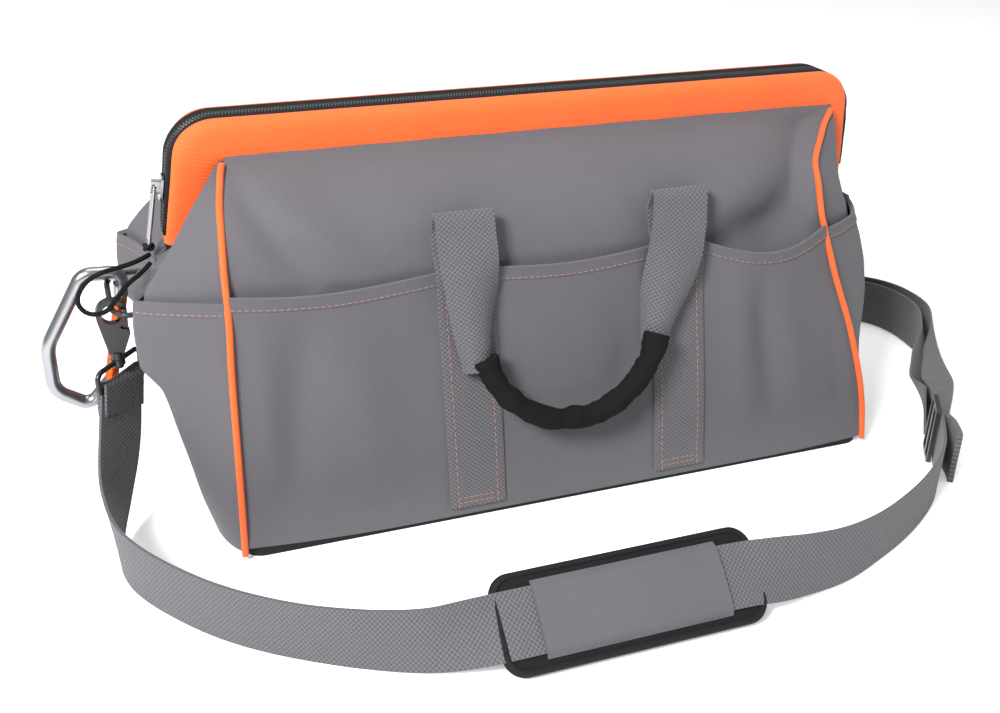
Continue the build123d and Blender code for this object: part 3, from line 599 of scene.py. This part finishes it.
def pocket_grid(front, rows=100, columns=190):
    """The long pocket from the base strip up to its hem."""
    t = np.linspace(0, 1, rows)[:, None]
    across = np.linspace(0, 1, columns)[None, :]
    rough_x = -221 + 413 * across
    top = hem_height(rough_x)
    low = 3.0 + 5.5 * np.clip((np.abs(rough_x) - 120) / 104, 0, 1) ** 2
    z = low * (1 - t) + top * t
    x = seam_x(-1, z, front) * (1 - across) + seam_x(1, z, front) * across
    stand = hem_stand(x, front) * np.clip((t - 0.35) / 0.65, 0, 1) ** 2.2
    free = np.clip(1.15 - np.abs(2 * across - 1) ** 8, 0, 1)
    depth = face_depth(z) + pocket_folds(x, z, front) * free + stand
    tuck = 0.8 * np.clip(1 - (z - low) / 9, 0, 1) ** 2
    depth = np.maximum(depth - tuck, TRAY_FACE + 0.9 - 0.25 * np.maximum(z - 11, 0))
    return np.stack([x, (-depth if front else depth), z], -1)


def sew_hem(hem_name, stitch_name, grid, flip, drop):
    """The folded-over hem along a pocket's top edge, with its row of stitches."""
    lift = 0.55
    top = grid[-1]
    normals = grid_normals(grid)[-1] * (-1 if flip else 1)
    down = unit(grid[-9] - top)
    section = ((drop, 0.02), (drop - 0.5, lift), (0.35, lift), (0, lift + 0.15), (-0.7, 0.2),
               (-0.7, -1.0), (0.6, -2.6))
    rows = [top + down * depth + normals * out for depth, out in section]
    place(shell(hem_name, np.array(rows), HEM_THICK, CLOTH, flip=flip), "body", "cloth_grey")
    seam = top + down * (drop - 1.6) + normals * (lift + 0.05)
    place(stitches(stitch_name, seam, normals), "body", "webbing_grey")


WALLS, POCKETS = {}, {}
for front, side in ((True, "front"), (False, "back")):
    y_sign = -1 if front else 1
    WALLS[side] = wall_grid(front)
    POCKETS[side] = pocket_grid(front)
    upper = shell(f"{side}_wall_cloth", WALLS[side], CLOTH_THICK, CLOTH, flip=not front)
    pocket = shell(f"{side}_pocket_cloth", POCKETS[side], CLOTH_THICK, CLOTH, flip=not front)
    sew_hem(f"{side}_pocket_hem", f"{side}_hem_stitches", POCKETS[side], not front, 8.5)
    place(pocket, "body", "cloth_grey", f"{side}_pocket")
    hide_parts(f"{side}_panel", f"{side}_top_panel")
    blend_to_mouth(upper)

    # Cloth behind the pocket, which shuts off the view into it.
    lining_z = np.linspace(16, 124, 12)[:, None] * np.ones((1, 40))
    lining_x = np.linspace(-214, 192, 40)[None, :] * np.ones((12, 1))
    lining_grid = np.stack([lining_x, (face_depth(lining_z) - 5.0) * y_sign, lining_z], -1)
    lining = shell(f"{side}_inner_wall", lining_grid, 0.8, CLOTH, flip=not front)
    place(lining, "body", "cloth_grey")


# ---- ends
# At each height: edge of the ear, and valley or mouth frame, as (x, y).
LEFT_END = {
    4: ((-233, -78), (-236, 0)),
    26: ((-241, -66), (-238, 0)),
    60: ((-247, -63), (-242, 0)),
    100: ((-256, -62), (-248, 0)),
    120: ((-269, -59), (-250, 0)),
    140: ((-270, -59), (-252, 0)),
    162: ((-267, -57), (-252, 0)),
    174: ((-259, -54), (-238, -4)),
    188: ((-247, -47), (-226, -7)),
    207: ((-232, -36), (-214.5, -10)),
    219: ((-221, -27), (-211, -12)),
    228: ((-212, -18.5), (-208.5, -14)),
}
RIGHT_END = {
    4: ((230, -80), (236, 0)),
    34: ((234, -68), (239, 0)),
    60: ((237, -64), (242, 0)),
    100: ((240, -60), (248, 0)),
    120: ((238, -58), (250, 0)),
    139: ((232, -57), (252, 0)),
    160: ((222, -57), (252, 0)),
    174: ((217, -55), (238, -4)),
    188: ((215, -49), (226, -7)),
    207: ((219, -36), (214.5, -10)),
    219: ((222, -27), (213, -12)),
    228: ((223, -18.5), (215, -14)),
}


def end_grid(table, top, back, stand=0.0, low=5.0):
    """Half of a pleated end, from its seam over the ear to the valley; a pocket stands out."""
    rows, fold = 80, 34
    heights = sorted(table)
    z = np.linspace(low, top, rows)
    ear, valley = (curve_at(heights, [table[h][k] for h in heights], z)[:, None] for k in range(2))
    side = np.sign(ear[0, 0, 0])
    depth = face_depth(z) if stand else wall_depth(z)
    seam = np.stack([seam_x(side, z, not back), -depth], -1)[:, None]
    t = np.linspace(0, 1, fold)[None, :, None]
    first = seam * (1 - t) + ear * t
    bow = np.sin(math.pi * t) * 1.5
    second = ear * (1 - t) + valley * t
    # The valley side is hollow near the ear and flat towards the middle.
    overhang = np.clip((np.abs(ear) - np.abs(valley))[..., :1], -6, 14)
    hollow = np.sin(math.pi * np.clip(t * 1.25, 0, 1)) * overhang * 0.32
    second = second - np.concatenate([side * hollow, np.zeros_like(hollow)], -1)
    line = np.concatenate([first, second[:, 1:]], 1)
    line[:, :fold, 1:] -= bow * 0.6
    for _ in range(5):
        line[:, 1:-1] = (line[:, :-2] + 2 * line[:, 1:-1] + line[:, 2:]) / 4
    share = np.clip(np.linspace(0, 1.15, line.shape[1]), 0, 1)
    line[..., 0] += side * stand * np.sin(math.pi * share)[None, :] ** 0.6
    wave = 0.8 * np.sin(z / 17.0)[:, None] * np.sin(np.linspace(0, 9, line.shape[1]))[None, :]
    line[..., 0] += side * wave * np.clip((top - z)[:, None] / 60, 0, 1)
    grid = np.concatenate([line, np.broadcast_to(z[:, None, None], (*line.shape[:2], 1))], -1)
    if back:
        grid[..., 1] *= -1
    return grid


def end_pieces(label, table):
    """The two halves of an end: its upper cloth with the ear, and its pocket with a hem."""
    right = table is RIGHT_END
    for back, which in ((False, "front"), (True, "back")):
        source = table
        if back and right:
            source = {h: tuple((-x, y) for x, y in row) for h, row in LEFT_END.items()}
        flip = right == back
        upper = end_grid(source, 228, back, low=100)
        cloth = shell(f"{label}_{which}_ear_cloth", upper, CLOTH_THICK, CLOTH, flip=flip)
        blend_to_mouth(cloth)
        lower = end_grid(source, 161, back, stand=6.0)
        pocket = shell(f"{label}_{which}_end_pocket_cloth", lower, CLOTH_THICK, CLOTH, flip=flip)
        place(pocket, "body", "cloth_grey")
        sew_hem(f"{label}_{which}_end_hem", f"{label}_{which}_end_stitches", lower, flip, 8.0)
    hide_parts(f"{label}_gusset")
    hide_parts(f"{label}_end_pocket")


end_pieces("left", LEFT_END)
end_pieces("right", RIGHT_END)

# ---- piping up the four corner seams
for label, side, front in (("front_left", -1, True), ("front_right", 1, True),
                           ("back_left", -1, False), ("back_right", 1, False)):
    z = np.concatenate([np.linspace(4, 160, 40), np.linspace(164, 227, 30)])
    depth = soften(np.where(z < 162, face_depth(z), wall_depth(np.maximum(z, 120))), 40)
    x = seam_x(side, z, front)
    line = np.stack([x + side * 1.2, (-1 if front else 1) * (depth + 1.8), z], -1)
    cord = tube(f"{label}_piping", line, 2.1, PIPING, sides=14, start=(1, 0, 0))
    blend_to_mouth(cord)
    if label == "front_left":
        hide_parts("corner_piping")

# ---- mouth bands, zip tape and teeth
LEAN = math.radians(7.15)
# Height of the pivots, the rail's height over them and half length, the legs' half spread and foot.
HINGE_Z, RISE, HALF, LEG_HALF, LEG_FOOT = 155.0, 93.5, 231.0, 243.5, 20.0
# Share of the way from the band's inner edge to its outer one, and distance out of the frame.
BAND_SECTION = ((0, 3.2), (0.03, 4.3), (0.2, 5.1), (0.4, 5.4), (0.6, 5.4), (0.78, 5.2), (0.9, 4.6),
                (0.97, 3.2), (1.0, 1.4), (1.0, 0.4), (0.985, -0.2))
# Distance from the middle plane and out from the zip's line, across one tape.
TAPE_SECTION = ((12.6, -1.5), (12.0, 0.3), (10.6, 0.9), (8.6, 1.0), (6.4, 0.8), (4.6, 0.3),
                (3.0, -0.2), (1.3, -0.4))
# The same along one tooth's loop of wire, with the wire's half size.
TOOTH_SECTION = ((3.7, 0.0, 0.72), (2.4, 1.0, 0.72), (0.9, 1.15, 0.72), (-0.5, 0.6, 0.55))


def on_frame(front, x, up, out):
    """A point of a mouth frame's plane: along the bag, up from the pivots, and out from the plane."""
    y = -(up * math.sin(LEAN) + out * math.cos(LEAN))
    return np.stack([x, y if front else -y, HINGE_Z + up * math.cos(LEAN) - out * math.sin(LEAN)], -1)


def by_share(path, corners, count):
    """A path read at count places, with its corners always at the same shares of them."""
    along = lengths(path)
    marks = [along[np.argmin(np.linalg.norm(path - np.array(c), axis=1))] for c in corners]
    at = np.interp(np.linspace(0, 1, count), [0, 0.13, 0.87, 1], [0, *marks, along[-1]])
    return read_along(path, along, at)


def band_edge(leg, half, rise, radius, count):
    """One edge of the mouth band, up one leg, along the rail and down the other leg."""
    corners = [(-half, rise), (half, rise)]
    path = rounded([(-leg, LEG_FOOT), *corners, (leg, LEG_FOOT)], radius, 2.0)
    return by_share(path, corners, count)


def band_grid(front):
    count = 330
    outer = band_edge(LEG_HALF + 2.0, HALF + 3.4, RISE + 4.0, 27, count)
    inner = band_edge(LEG_HALF - 16, HALF - 22, RISE - 23.5, 5, count)
    rows = []
    for share, out in BAND_SECTION:
        flat = inner * (1 - share) + outer * share
        rows.append(on_frame(front, flat[:, 0], flat[:, 1], np.full(count, out)))
    return np.array(rows)


ZIP_TOP = 251.6
ZIP_PATH = rounded([(-243.6, 180), (-233.4, ZIP_TOP), (233.4, ZIP_TOP), (243.6, 180)], 27, 2.0)
ZIP_ALONG = lengths(ZIP_PATH)
ZIP_TANGENTS = unit(np.gradient(ZIP_PATH, axis=0))
# Down the legs the zip stands a little further out.
LEG_PROUD = 2.2 * np.clip((ZIP_TOP - ZIP_PATH[:, 1]) / 22, 0, 1)


def zip_coil(name, y_sign, offset):
    """A bent loop of wire for every tooth, merged into one piece."""
    verts, faces = [], []
    for start in np.arange(1.0, ZIP_ALONG[-1] - 1.0, 2.0) + offset:
        at = read_along(ZIP_PATH, ZIP_ALONG, start)
        run = unit(read_along(ZIP_TANGENTS, ZIP_ALONG, start))
        out = np.array([-run[1], run[0]])
        proud = np.interp(start, ZIP_ALONG, LEG_PROUD)
        faces += bar_faces(len(verts), len(TOOTH_SECTION))
        for y, lift, size in TOOTH_SECTION:
            for a, b in ((-1, -1), (1, -1), (1, 1), (-1, 1)):
                spot = at + run * a * size * 0.85 + out * (lift + proud + b * size)
                verts.append((spot[0], y * y_sign, spot[1]))
    return make_object(name, verts, faces, np.zeros((len(verts), 2)), COIL, 75)


for front, side in ((True, "front"), (False, "back")):
    body = f"{side}_mouth"
    y_sign = -1 if front else 1
    grid = band_grid(front)
    rows, columns = grid.shape[:2]
    across = np.sin(np.linspace(0, math.pi, rows))[:, None]
    grid[..., 1] += 0.35 * np.sin(np.linspace(0, 60, columns))[None, :] * across * y_sign
    band = shell(f"{side}_band_cloth", grid, 1.4, ORANGE, flip=front)
    place(band, body, "webbing_orange", f"{side}_band")

    outward = np.stack([-ZIP_TANGENTS[:, 1], ZIP_TANGENTS[:, 0]], -1)
    rows = []
    for y, out in TAPE_SECTION:
        flat = ZIP_PATH + outward * (out + LEG_PROUD)[:, None]
        # On the legs the tape ends where the leaning band begins.
        reach = np.minimum(y, (ZIP_PATH[:, 1] - HINGE_Z) * math.tan(LEAN) + 3.0)
        rows.append(np.stack([flat[:, 0], reach * y_sign, flat[:, 1]], -1))
    tape = shell(f"{side}_zip_cloth", np.array(rows), 0.8, ZIP_TAPE, flip=front)
    place(tape, body, "zip_tape", f"{side}_zip_tape")
    teeth = zip_coil(f"{side}_zip_coil", y_sign, 0 if front else 1.0)
    place(teeth, body, "zip_coil", f"{side}_zip_teeth")


# ---- webbing sewn up the long walls
HANDLE_X, WEBBING_WIDTH = 74.0, 38.0


def sampled(grid, xs):
    """Rows of a wall grid read at other places along the bag."""
    return np.array([np.column_stack([xs, read_along(row[:, 1:], row[:, 0], xs)]) for row in grid])


def sew(name, line, normals, stitch, gap):
    """A row of thick stitches on the bag's webbing."""
    place(stitches(name, line, normals, stitch=stitch, gap=gap, thick=0.6), "body", "webbing_grey")


for front, side in ((True, "front"), (False, "back")):
    y_sign = -1 if front else 1
    for label, centre in (("left", -HANDLE_X), ("right", HANDLE_X)):
        xs = np.linspace(centre - WEBBING_WIDTH / 2, centre + WEBBING_WIDTH / 2, 15)
        low = sampled(POCKETS[side], xs)
        low = low[low[:, 0, 2] > 8.5]
        high = sampled(WALLS[side], xs)
        high = high[(high[:, 0, 2] > 171) & (high[:, 0, 2] < 188)]
        rows = [*low, *high]
        for depth, z in ((67.6, 191), (69.2, 195), (70.6, 198.2)):
            rows.append(np.stack([xs, np.full(15, depth * y_sign), np.full(15, z)], -1))
        grid = soften(np.array(rows), 2)
        normals = grid_normals(grid) * (1 if front else -1)
        lifted = grid + normals * 1.9
        lifted[:, [0, -1]] -= normals[:, [0, -1]] * 0.5
        name = f"{side}_{label}"
        webbing = shell(f"{name}_sewn_webbing", lifted, 1.8, WEBBING, flip=not front)
        place(webbing, "body", "webbing_grey")
        if label == "left":
            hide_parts(f"{side}_webbing")
        middle_z = lifted[:, 7, 2]
        shown = lifted[middle_z < 163]
        for edge, column in (("a", 2), ("b", -3)):
            facing = normals[:len(shown), column]
            sew(f"{name}_webbing_stitches_{edge}", shown[:, column], facing, 3.0, 1.6)
        for count, z in enumerate((13, 17, 158)):
            row = np.argmin(np.abs(middle_z - z))
            sew(f"{name}_bar_{count}", lifted[row, 2:-2], normals[row, 2:-2], 2.6, 1.0)

# ---- carry handles
# Middle line of the grip as (x, down), and of each leg as (x, down, out), from the fold.
GRIP_ROUTE = [(-68, 90), (-65, 100), (-58, 113), (-44, 126), (-24, 135.5), (-2, 137), (18, 131),
              (36, 118), (47, 103), (52, 90)]
LEG_ROUTES = {
    "left": [(-74, -1.5, -1.2), (-74, -2.6, 1.2), (-74, 0.5, 3.6), (-74, 10, 4.2), (-73.4, 30, 5.0),
             (-71.2, 52, 4.2), (-69.2, 72, 2.0), (-68, 88, 0.6), (-67.0, 97, 0.2)],
    "right": [(74, -1.5, -1.2), (74, -2.6, 1.2), (74, 0.5, 3.6), (73, 10, 4.2), (69.5, 30, 5.2),
              (64, 52, 4.6), (57.5, 72, 2.4), (53, 86, 0.8), (51, 96, 0.2)],
}
HANDLE_DOWN = unit(np.array([0, -0.32, -0.947]))


def on_handle(front, x, down, out=0.0):
    """A point of the hanging handle: along the bag, down from the fold, and away from the wall."""
    away = np.array([0, HANDLE_DOWN[2], -HANDLE_DOWN[1]])
    points = (np.multiply.outer(np.asarray(down, float), HANDLE_DOWN)
              + np.multiply.outer(np.asarray(out, float), away) + np.array([0, -72.5, 197.5]))
    points[..., 0] += x
    if not front:
        points[..., 1] *= -1
    return points


for front, side in ((True, "front"), (False, "back")):
    body = f"{side}_handle"
    for label, route in LEG_ROUTES.items():
        legs = np.array(route, float)
        points = smooth_line(on_handle(front, legs[:, 0], legs[:, 1], legs[:, 2]), 2.0)
        share = np.linspace(0, 1, len(points))
        bend = 1e-5 + 0.115 * np.clip((share - 0.22) / 0.72, 0, 1) ** 1.6
        turn = (0.55 if label == "left" else -0.35) * np.clip((share - 0.3) / 0.7, 0, 1)
        across = np.stack([np.cos(turn), np.sin(turn) * (1 if front else -1), np.zeros_like(turn)], -1)
        leg = strip(f"{side}_{label}_handle_leg", points, across, WEBBING_WIDTH, WEBBING_THICK, WEBBING,
                    curl=-(1 / bend) * (1 if front else -1), segments=16)
        place(leg, body, "webbing_grey")
        if label == "left":
            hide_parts(f"{side}_handle_webbing")
    route = np.array(GRIP_ROUTE, float)
    line = smooth_line(on_handle(front, route[:, 0], route[:, 1]), 1.6)
    share = np.linspace(0, 1, len(line))
    radius = 8.0 + 0.35 * np.sin(share * 41) + 0.3 * np.sin(share * 67 + 1)
    radius = radius + 1.5 * np.exp(-((share - 1) / 0.05) ** 2)
    radius += 0.9 * np.exp(-(share / 0.03) ** 2) + 0.25 * rng.normal(size=len(line))
    grip = tube(f"{side}_grip_cloth", line, soften(radius, 1), FELT, sides=26, start=(0, 1, 0.3),
                flat=0.9)
    # A fine uneven surface, pushed along the normals.
    mesh = grip.data
    coords = np.zeros(len(mesh.vertices) * 3)
    mesh.vertices.foreach_get("co", coords)
    coords = coords.reshape(-1, 3)
    waves = (np.sin(coords[:, 0] * 420 + coords[:, 2] * 510)
             * np.sin(coords[:, 1] * 600 + coords[:, 2] * 330))
    normals = np.zeros(len(mesh.vertices) * 3)
    mesh.vertex_normals.foreach_get("vector", normals)
    coords += normals.reshape(-1, 3) * (waves[:, None] * 0.00035)
    mesh.vertices.foreach_set("co", coords.ravel())
    place(grip, body, "grip_black", f"{side}_handle_grip")

# ---- shoulder strap
UP = (0.0, 0.0, 1.0)
LEFT_WIDE = (-0.65, -0.76, 0.0)
PAD_WIDE = (0.0, 0.719, 0.695)
RIGHT_WIDE = (0.25, 0.968, 0.0)
# Every control point of the strap with the direction of its width there.
STRAP = [
    ((-283.9, -12, 88.1), LEFT_WIDE), ((-285.5, -17, 74), (-0.66, -0.70, 0.25)),
    ((-290, -32, 53), (-0.60, -0.50, 0.62)), ((-297, -53, 34), (-0.42, -0.36, 0.83)),
    ((-301, -76, 22), (-0.2, -0.25, 0.95)), ((-301, -100, 20.2), (-0.05, -0.02, 1.0)),
    ((-292, -126, 20.2), UP), ((-273, -155, 20.2), UP), ((-250, -182, 20.2), UP),
    ((-219, -207, 20.2), UP), ((-184, -227, 20.2), (0.0, 0.08, 0.99)),
    ((-150, -241, 20.5), (0.0, 0.25, 0.97)), ((-125, -246, 23.5), (0.0, 0.52, 0.85)),
    ((-105, -249, 26.2), PAD_WIDE), ((-30, -249.5, 26.4), PAD_WIDE), ((40, -249.5, 26.2), PAD_WIDE),
    ((62, -250.5, 24.5), (0.0, 0.55, 0.83)), ((86, -250, 22), (0.0, 0.3, 0.95)),
    ((118, -247, 20.2), (0.0, 0.12, 0.99)), ((156, -234, 20.2), UP), ((196, -214, 20.2), UP),
    ((232, -188, 20.2), UP), ((254, -158, 20.2), UP), ((276, -124, 20.0), (-0.12, 0.1, 0.98)),
    ((304, -90, 16.3), (-0.50, 0.40, 0.76)), ((336, -55, 15.4), (-0.54, 0.44, 0.71)),
    ((362, -18, 19.3), (-0.28, 0.14, 0.94)), ((375, 22, 20.2), UP), ((370, 62, 20.2), UP),
    ((342, 88, 20.2), UP), ((308, 88, 20), (0.02, 0.05, 0.99)), ((286, 69, 25), (0.08, 0.25, 0.96)),
    ((276, 50, 35), (0.14, 0.55, 0.80)), ((270, 32, 50), (0.2, 0.85, 0.45)),
    ((267, 20, 61), RIGHT_WIDE), ((266.6, 13, 69.4), RIGHT_WIDE),
]
RETURN = [
    ((276, -113.5, 20.0), (-0.12, 0.1, 0.98)), ((294, -88, 16.3), (-0.50, 0.40, 0.76)),
    ((324, -56, 15.4), (-0.54, 0.44, 0.71)), ((350.5, -19, 19.3), (-0.28, 0.14, 0.94)),
    ((364, 20, 20.2), UP), ((359, 57, 20.2), UP), ((337, 78, 20.2), UP),
    ((311, 78, 20), (0.02, 0.05, 0.99)), ((290, 61, 25), (0.08, 0.25, 0.96)),
    ((279, 45, 34), (0.14, 0.55, 0.80)), ((272.5, 30, 48), (0.2, 0.85, 0.45)),
    ((270.5, 20, 60), RIGHT_WIDE), ((269.5, 14, 68), RIGHT_WIDE),
]


def free_strap(name, table):
    """A length of webbing along a table's route, and the line of its middle."""
    route = [p for p, _ in table]
    points = resample(nurbs(route), 2.5)
    wide = unit(spread(route, [w for _, w in table], points))
    return strip(name, points, wide, WEBBING_WIDTH, WEBBING_THICK, WEBBING, segments=6), points


strap, strap_line = free_strap("shoulder_strap", STRAP)
second, second_line = free_strap("shoulder_strap_second_layer", RETURN)
place(strap, "body", "strap_grey", "strap_left_drop", "strap_front_left", "strap_in_pad",
      "strap_front_right", "strap_right_rise")
place(second, "body", "strap_grey", "strap_return")

# Ends of the webbing, folded round the bars of the two snap hooks and sewn down.
for label, bar, wide, down in (("left", (-283.9, -12, 88.1), LEFT_WIDE, (-0.09, -0.25, -0.96)),
                               ("right", (266.6, 13, 69.4), RIGHT_WIDE, (0.05, 0.3, -0.95))):
    wide, down = unit(np.array(wide)), unit(np.array(down))
    away = np.cross(wide, down)
    bar = np.array(bar)
    line = [bar + down * 20 + away * 2.2, bar + down * 7 + away * 2.9]
    for angle in np.linspace(0, math.pi, 9):
        line.append(bar + away * 3.1 * math.cos(angle) - down * 3.1 * math.sin(angle))
    line += [bar + down * 7 - away * 2.9, bar + down * 20 - away * 2.2]
    line = resample(line, 1.0)
    fold = strip(f"{label}_strap_fold", line, wide, WEBBING_WIDTH, 1.7, WEBBING, segments=4)
    place(fold, "body", "strap_grey")

# The strap's tail, sewn back on itself behind the adjuster.
along = unit(np.array([22.0, 34.0, 0]))
outside = np.cross(along, np.array([0, 0, 1.0]))
mid = np.array([265.0, -141.0, 19.0])
tail_line = [mid - along * back + outside * out
             for back, out in ((6, 3.6), (12, 6.5), (20, 8.2), (30, 9.4), (35, 9.2))]
tail = strip("strap_tail_fold", smooth_line(tail_line, 1.5), UP, WEBBING_WIDTH, 4.0, WEBBING, segments=4)
place(tail, "body", "strap_grey", "strap_tail")

# ---- strap pad
TILT = math.radians(46)
PAD_Z = 29 * math.cos(TILT) + 8.7 * math.sin(TILT)


def on_pad(x, up, out):
    """A point of the pad: along the bag from its middle, up the pad, and out of its face."""
    return np.stack([x - 30.0 + 0 * up, -249.5 + up * math.sin(TILT) - out * math.cos(TILT),
                     PAD_Z + up * math.cos(TILT) + out * math.sin(TILT)], -1)


def rounded_box(half_x, half_y, corner):
    """Outline of a rectangle with rounded corners, without a repeated last point."""
    corners = [(-half_x, -half_y), (half_x, -half_y), (half_x, half_y), (-half_x, half_y)]
    return rounded(corners, corner, 2.0, closed=True)[:-1]


# The cushion is skinned over (inset, height) levels, from its back to its face.
PAD_HALF_X, PAD_HALF_Y, PAD_CORNER = 82.5, 29, 13
PAD_LEVELS = ((9, -8.6), (4, -8.6), (1.2, -8.0), (0.2, -6.4), (0.0, -5.0), (0.2, -3.4), (1.2, -2.0),
              (3.5, -1.6), (9, -1.7))
outline = rounded_box(PAD_HALF_X, PAD_HALF_Y, PAD_CORNER)
core = np.array([PAD_HALF_X - PAD_CORNER, PAD_HALF_Y - PAD_CORNER])
inward = np.clip(outline, -core, core) - outline
rings = []
for inset, height in PAD_LEVELS:
    ring = outline + inward * (inset / PAD_CORNER)
    rings.append(on_pad(ring[:, 0], ring[:, 1], height))
foam = loft("pad_cushion", np.array(rings), FOAM, sharp=70)
place(foam, "strap_pad", "foam_black", "pad_foam")
rim = rounded_box(80.3, 26.8, 12)
rim_line = on_pad(rim[:, 0], rim[:, 1], -2.2)
binding = tube("pad_binding", rim_line, 1.9, ZIP_TAPE, sides=10, start=(0, 0.8, 0.6), ring_loop=True)
place(binding, "strap_pad", "foam_black")

# The sleeve is raised where the strap runs under it.
x = np.linspace(-58, 58, 90)[None, :] * np.ones((40, 1))
up = np.linspace(-22, 22, 40)[:, None] * np.ones((1, 90))
over_strap = 1 / (1 + np.exp((np.abs(up) - 19.8) / 0.9))
height = -1.3 + 3.6 * over_strap + 0.35 * np.sin(x / 9) * (1 - over_strap)
height = height + 0.5 * np.cos(up / 12) * over_strap
height += 0.35 * np.sin(x / 23 + 1) * over_strap
sleeve = shell("pad_sleeve_cloth", on_pad(x, up, height), 0.9, CLOTH)
place(sleeve, "strap_pad", "sleeve_grey", "pad_sleeve")
for count, level in enumerate((-20.9, 20.9)):
    line = on_pad(np.linspace(-56, 56, 60), np.full(60, level), -0.9)
    normal = np.broadcast_to([0, -math.cos(TILT), math.sin(TILT)], line.shape)
    sewing = stitches(f"pad_stitches_{count}", line, normal, surface=CLOTH_DARK, thick=0.5)
    place(sewing, "strap_pad", "sleeve_grey")

# ---- cords
ZIP_CORD = [(-256.5, -3.5, 167.5), (-264, -11, 167), (-276, -18, 167), (-288, -24, 167.5),
            (-298, -27, 163), (-304, -28, 152), (-298, -28, 142.5), (-287, -28, 142.5),
            (-280, -27, 151), (-272, -22, 158), (-263, -15, 160.5), (-257, -8, 163.5)]
pull_cord = nurbs_curve("zip_pull_cord", ZIP_CORD, 14)
pull_cord.data.bevel_depth = 1.5 * MM
pull_cord.data.bevel_resolution = 5
pull_cord.data.use_fill_caps = True
pull_cord.data.materials.append(CORD)
place(pull_cord, "pull", "cord_black", "zip_cord")

knot_low, knot_high = (np.array(c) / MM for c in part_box("zip_knot"))
knot_at = (knot_low + knot_high) / 2
angle = np.linspace(0, 2 * math.pi, 90)
swell = 1.25 + 0.5 * np.cos(3 * angle)
knot_line = np.stack([2.2 * np.cos(2 * angle) * swell, 1.9 * np.sin(2 * angle) * swell,
                      1.7 * np.sin(3 * angle)], -1) * 0.72 + knot_at
knot = tube("pull_knot", knot_line[:-1], 1.4, CORD, sides=10, ring_loop=True)
place(knot, "pull", "cord_black", "zip_knot")

# ---- tabs that hold the strap rings
for label, ring, wide, inward, reach in (
        ("left", (-260.9, 0, 141.5), (0, 0.968, 0.25), (1, 0, 0.05), 8.5),
        ("right", (261.0, 13, 141), (0, 1, 0), (-0.2425, 0, 0.970), 12)):
    ring, wide, inward = np.array(ring, float), unit(np.array(wide, float)), unit(np.array(inward, float))
    away = np.cross(wide, inward)
    line = [ring + inward * reach + away * 1.4]
    for angle in np.linspace(0, math.pi, 11):
        line.append(ring + away * 3.4 * math.cos(angle) - inward * 3.4 * math.sin(angle))
    line.append(ring + inward * reach - away * 1.4)
    tab = strip(f"{label}_tab_webbing", resample(line, 1.2), wide, 36, 1.8, WEBBING, segments=4)
    place(tab, "body", "webbing_grey", f"{label}_ring_tab")

# ---- CAD pieces that stay
KEPT = {
    BASE: ("base_tray", "base_board"),
    BLACK_METAL: ("front_frame", "back_frame", "hinge_rivets", "left_d_ring", "right_d_ring",
                  "left_hook", "right_hook", "left_thumb_gate", "right_thumb_gate",
                  "left_strap_loop", "right_strap_loop"),
    CHROME: ("zip_slider", "zip_pull"),
    ALLOY: ("carabiner_body", "carabiner_rivet"),
    ANODISED: ("carabiner_gate",),
    BLACK_PLASTIC: ("strap_adjuster",),
}
for surface, names in KEPT.items():
    for name in names:
        NODES[name].data.materials.clear()
        NODES[name].data.materials.append(surface)

# ---- stage
mesh = bpy.data.meshes.new("floor")
mesh.from_pydata([(-6, -6, 0), (6, -6, 0), (6, 6, 0), (-6, 6, 0)], [], [(0, 1, 2, 3)])
mesh.materials.append(FLOOR)
floor = bpy.data.objects.new("floor", mesh)
SCENE.collection.objects.link(floor)
floor.location.z = -0.0002

world = bpy.data.worlds.new("studio")
SCENE.world = world
world.use_nodes = True
world.node_tree.nodes["Background"].inputs["Color"].default_value = (1, 1, 1, 1)
world.node_tree.nodes["Background"].inputs["Strength"].default_value = 0.40
area_light("key", (-1.2, -1.0, 1.3), (0, 0, 0.1), (0.5, 0.5), 62)
area_light("top", (0.1, 0.3, 2.0), (0, 0, 0.1), (1.6, 1.2), 18)
area_light("right_fill", (1.4, -0.9, 0.9), (0, 0, 0.1), (0.8, 1.2), 5)
SCENE.view_settings.view_transform = "Standard"
set_camera()
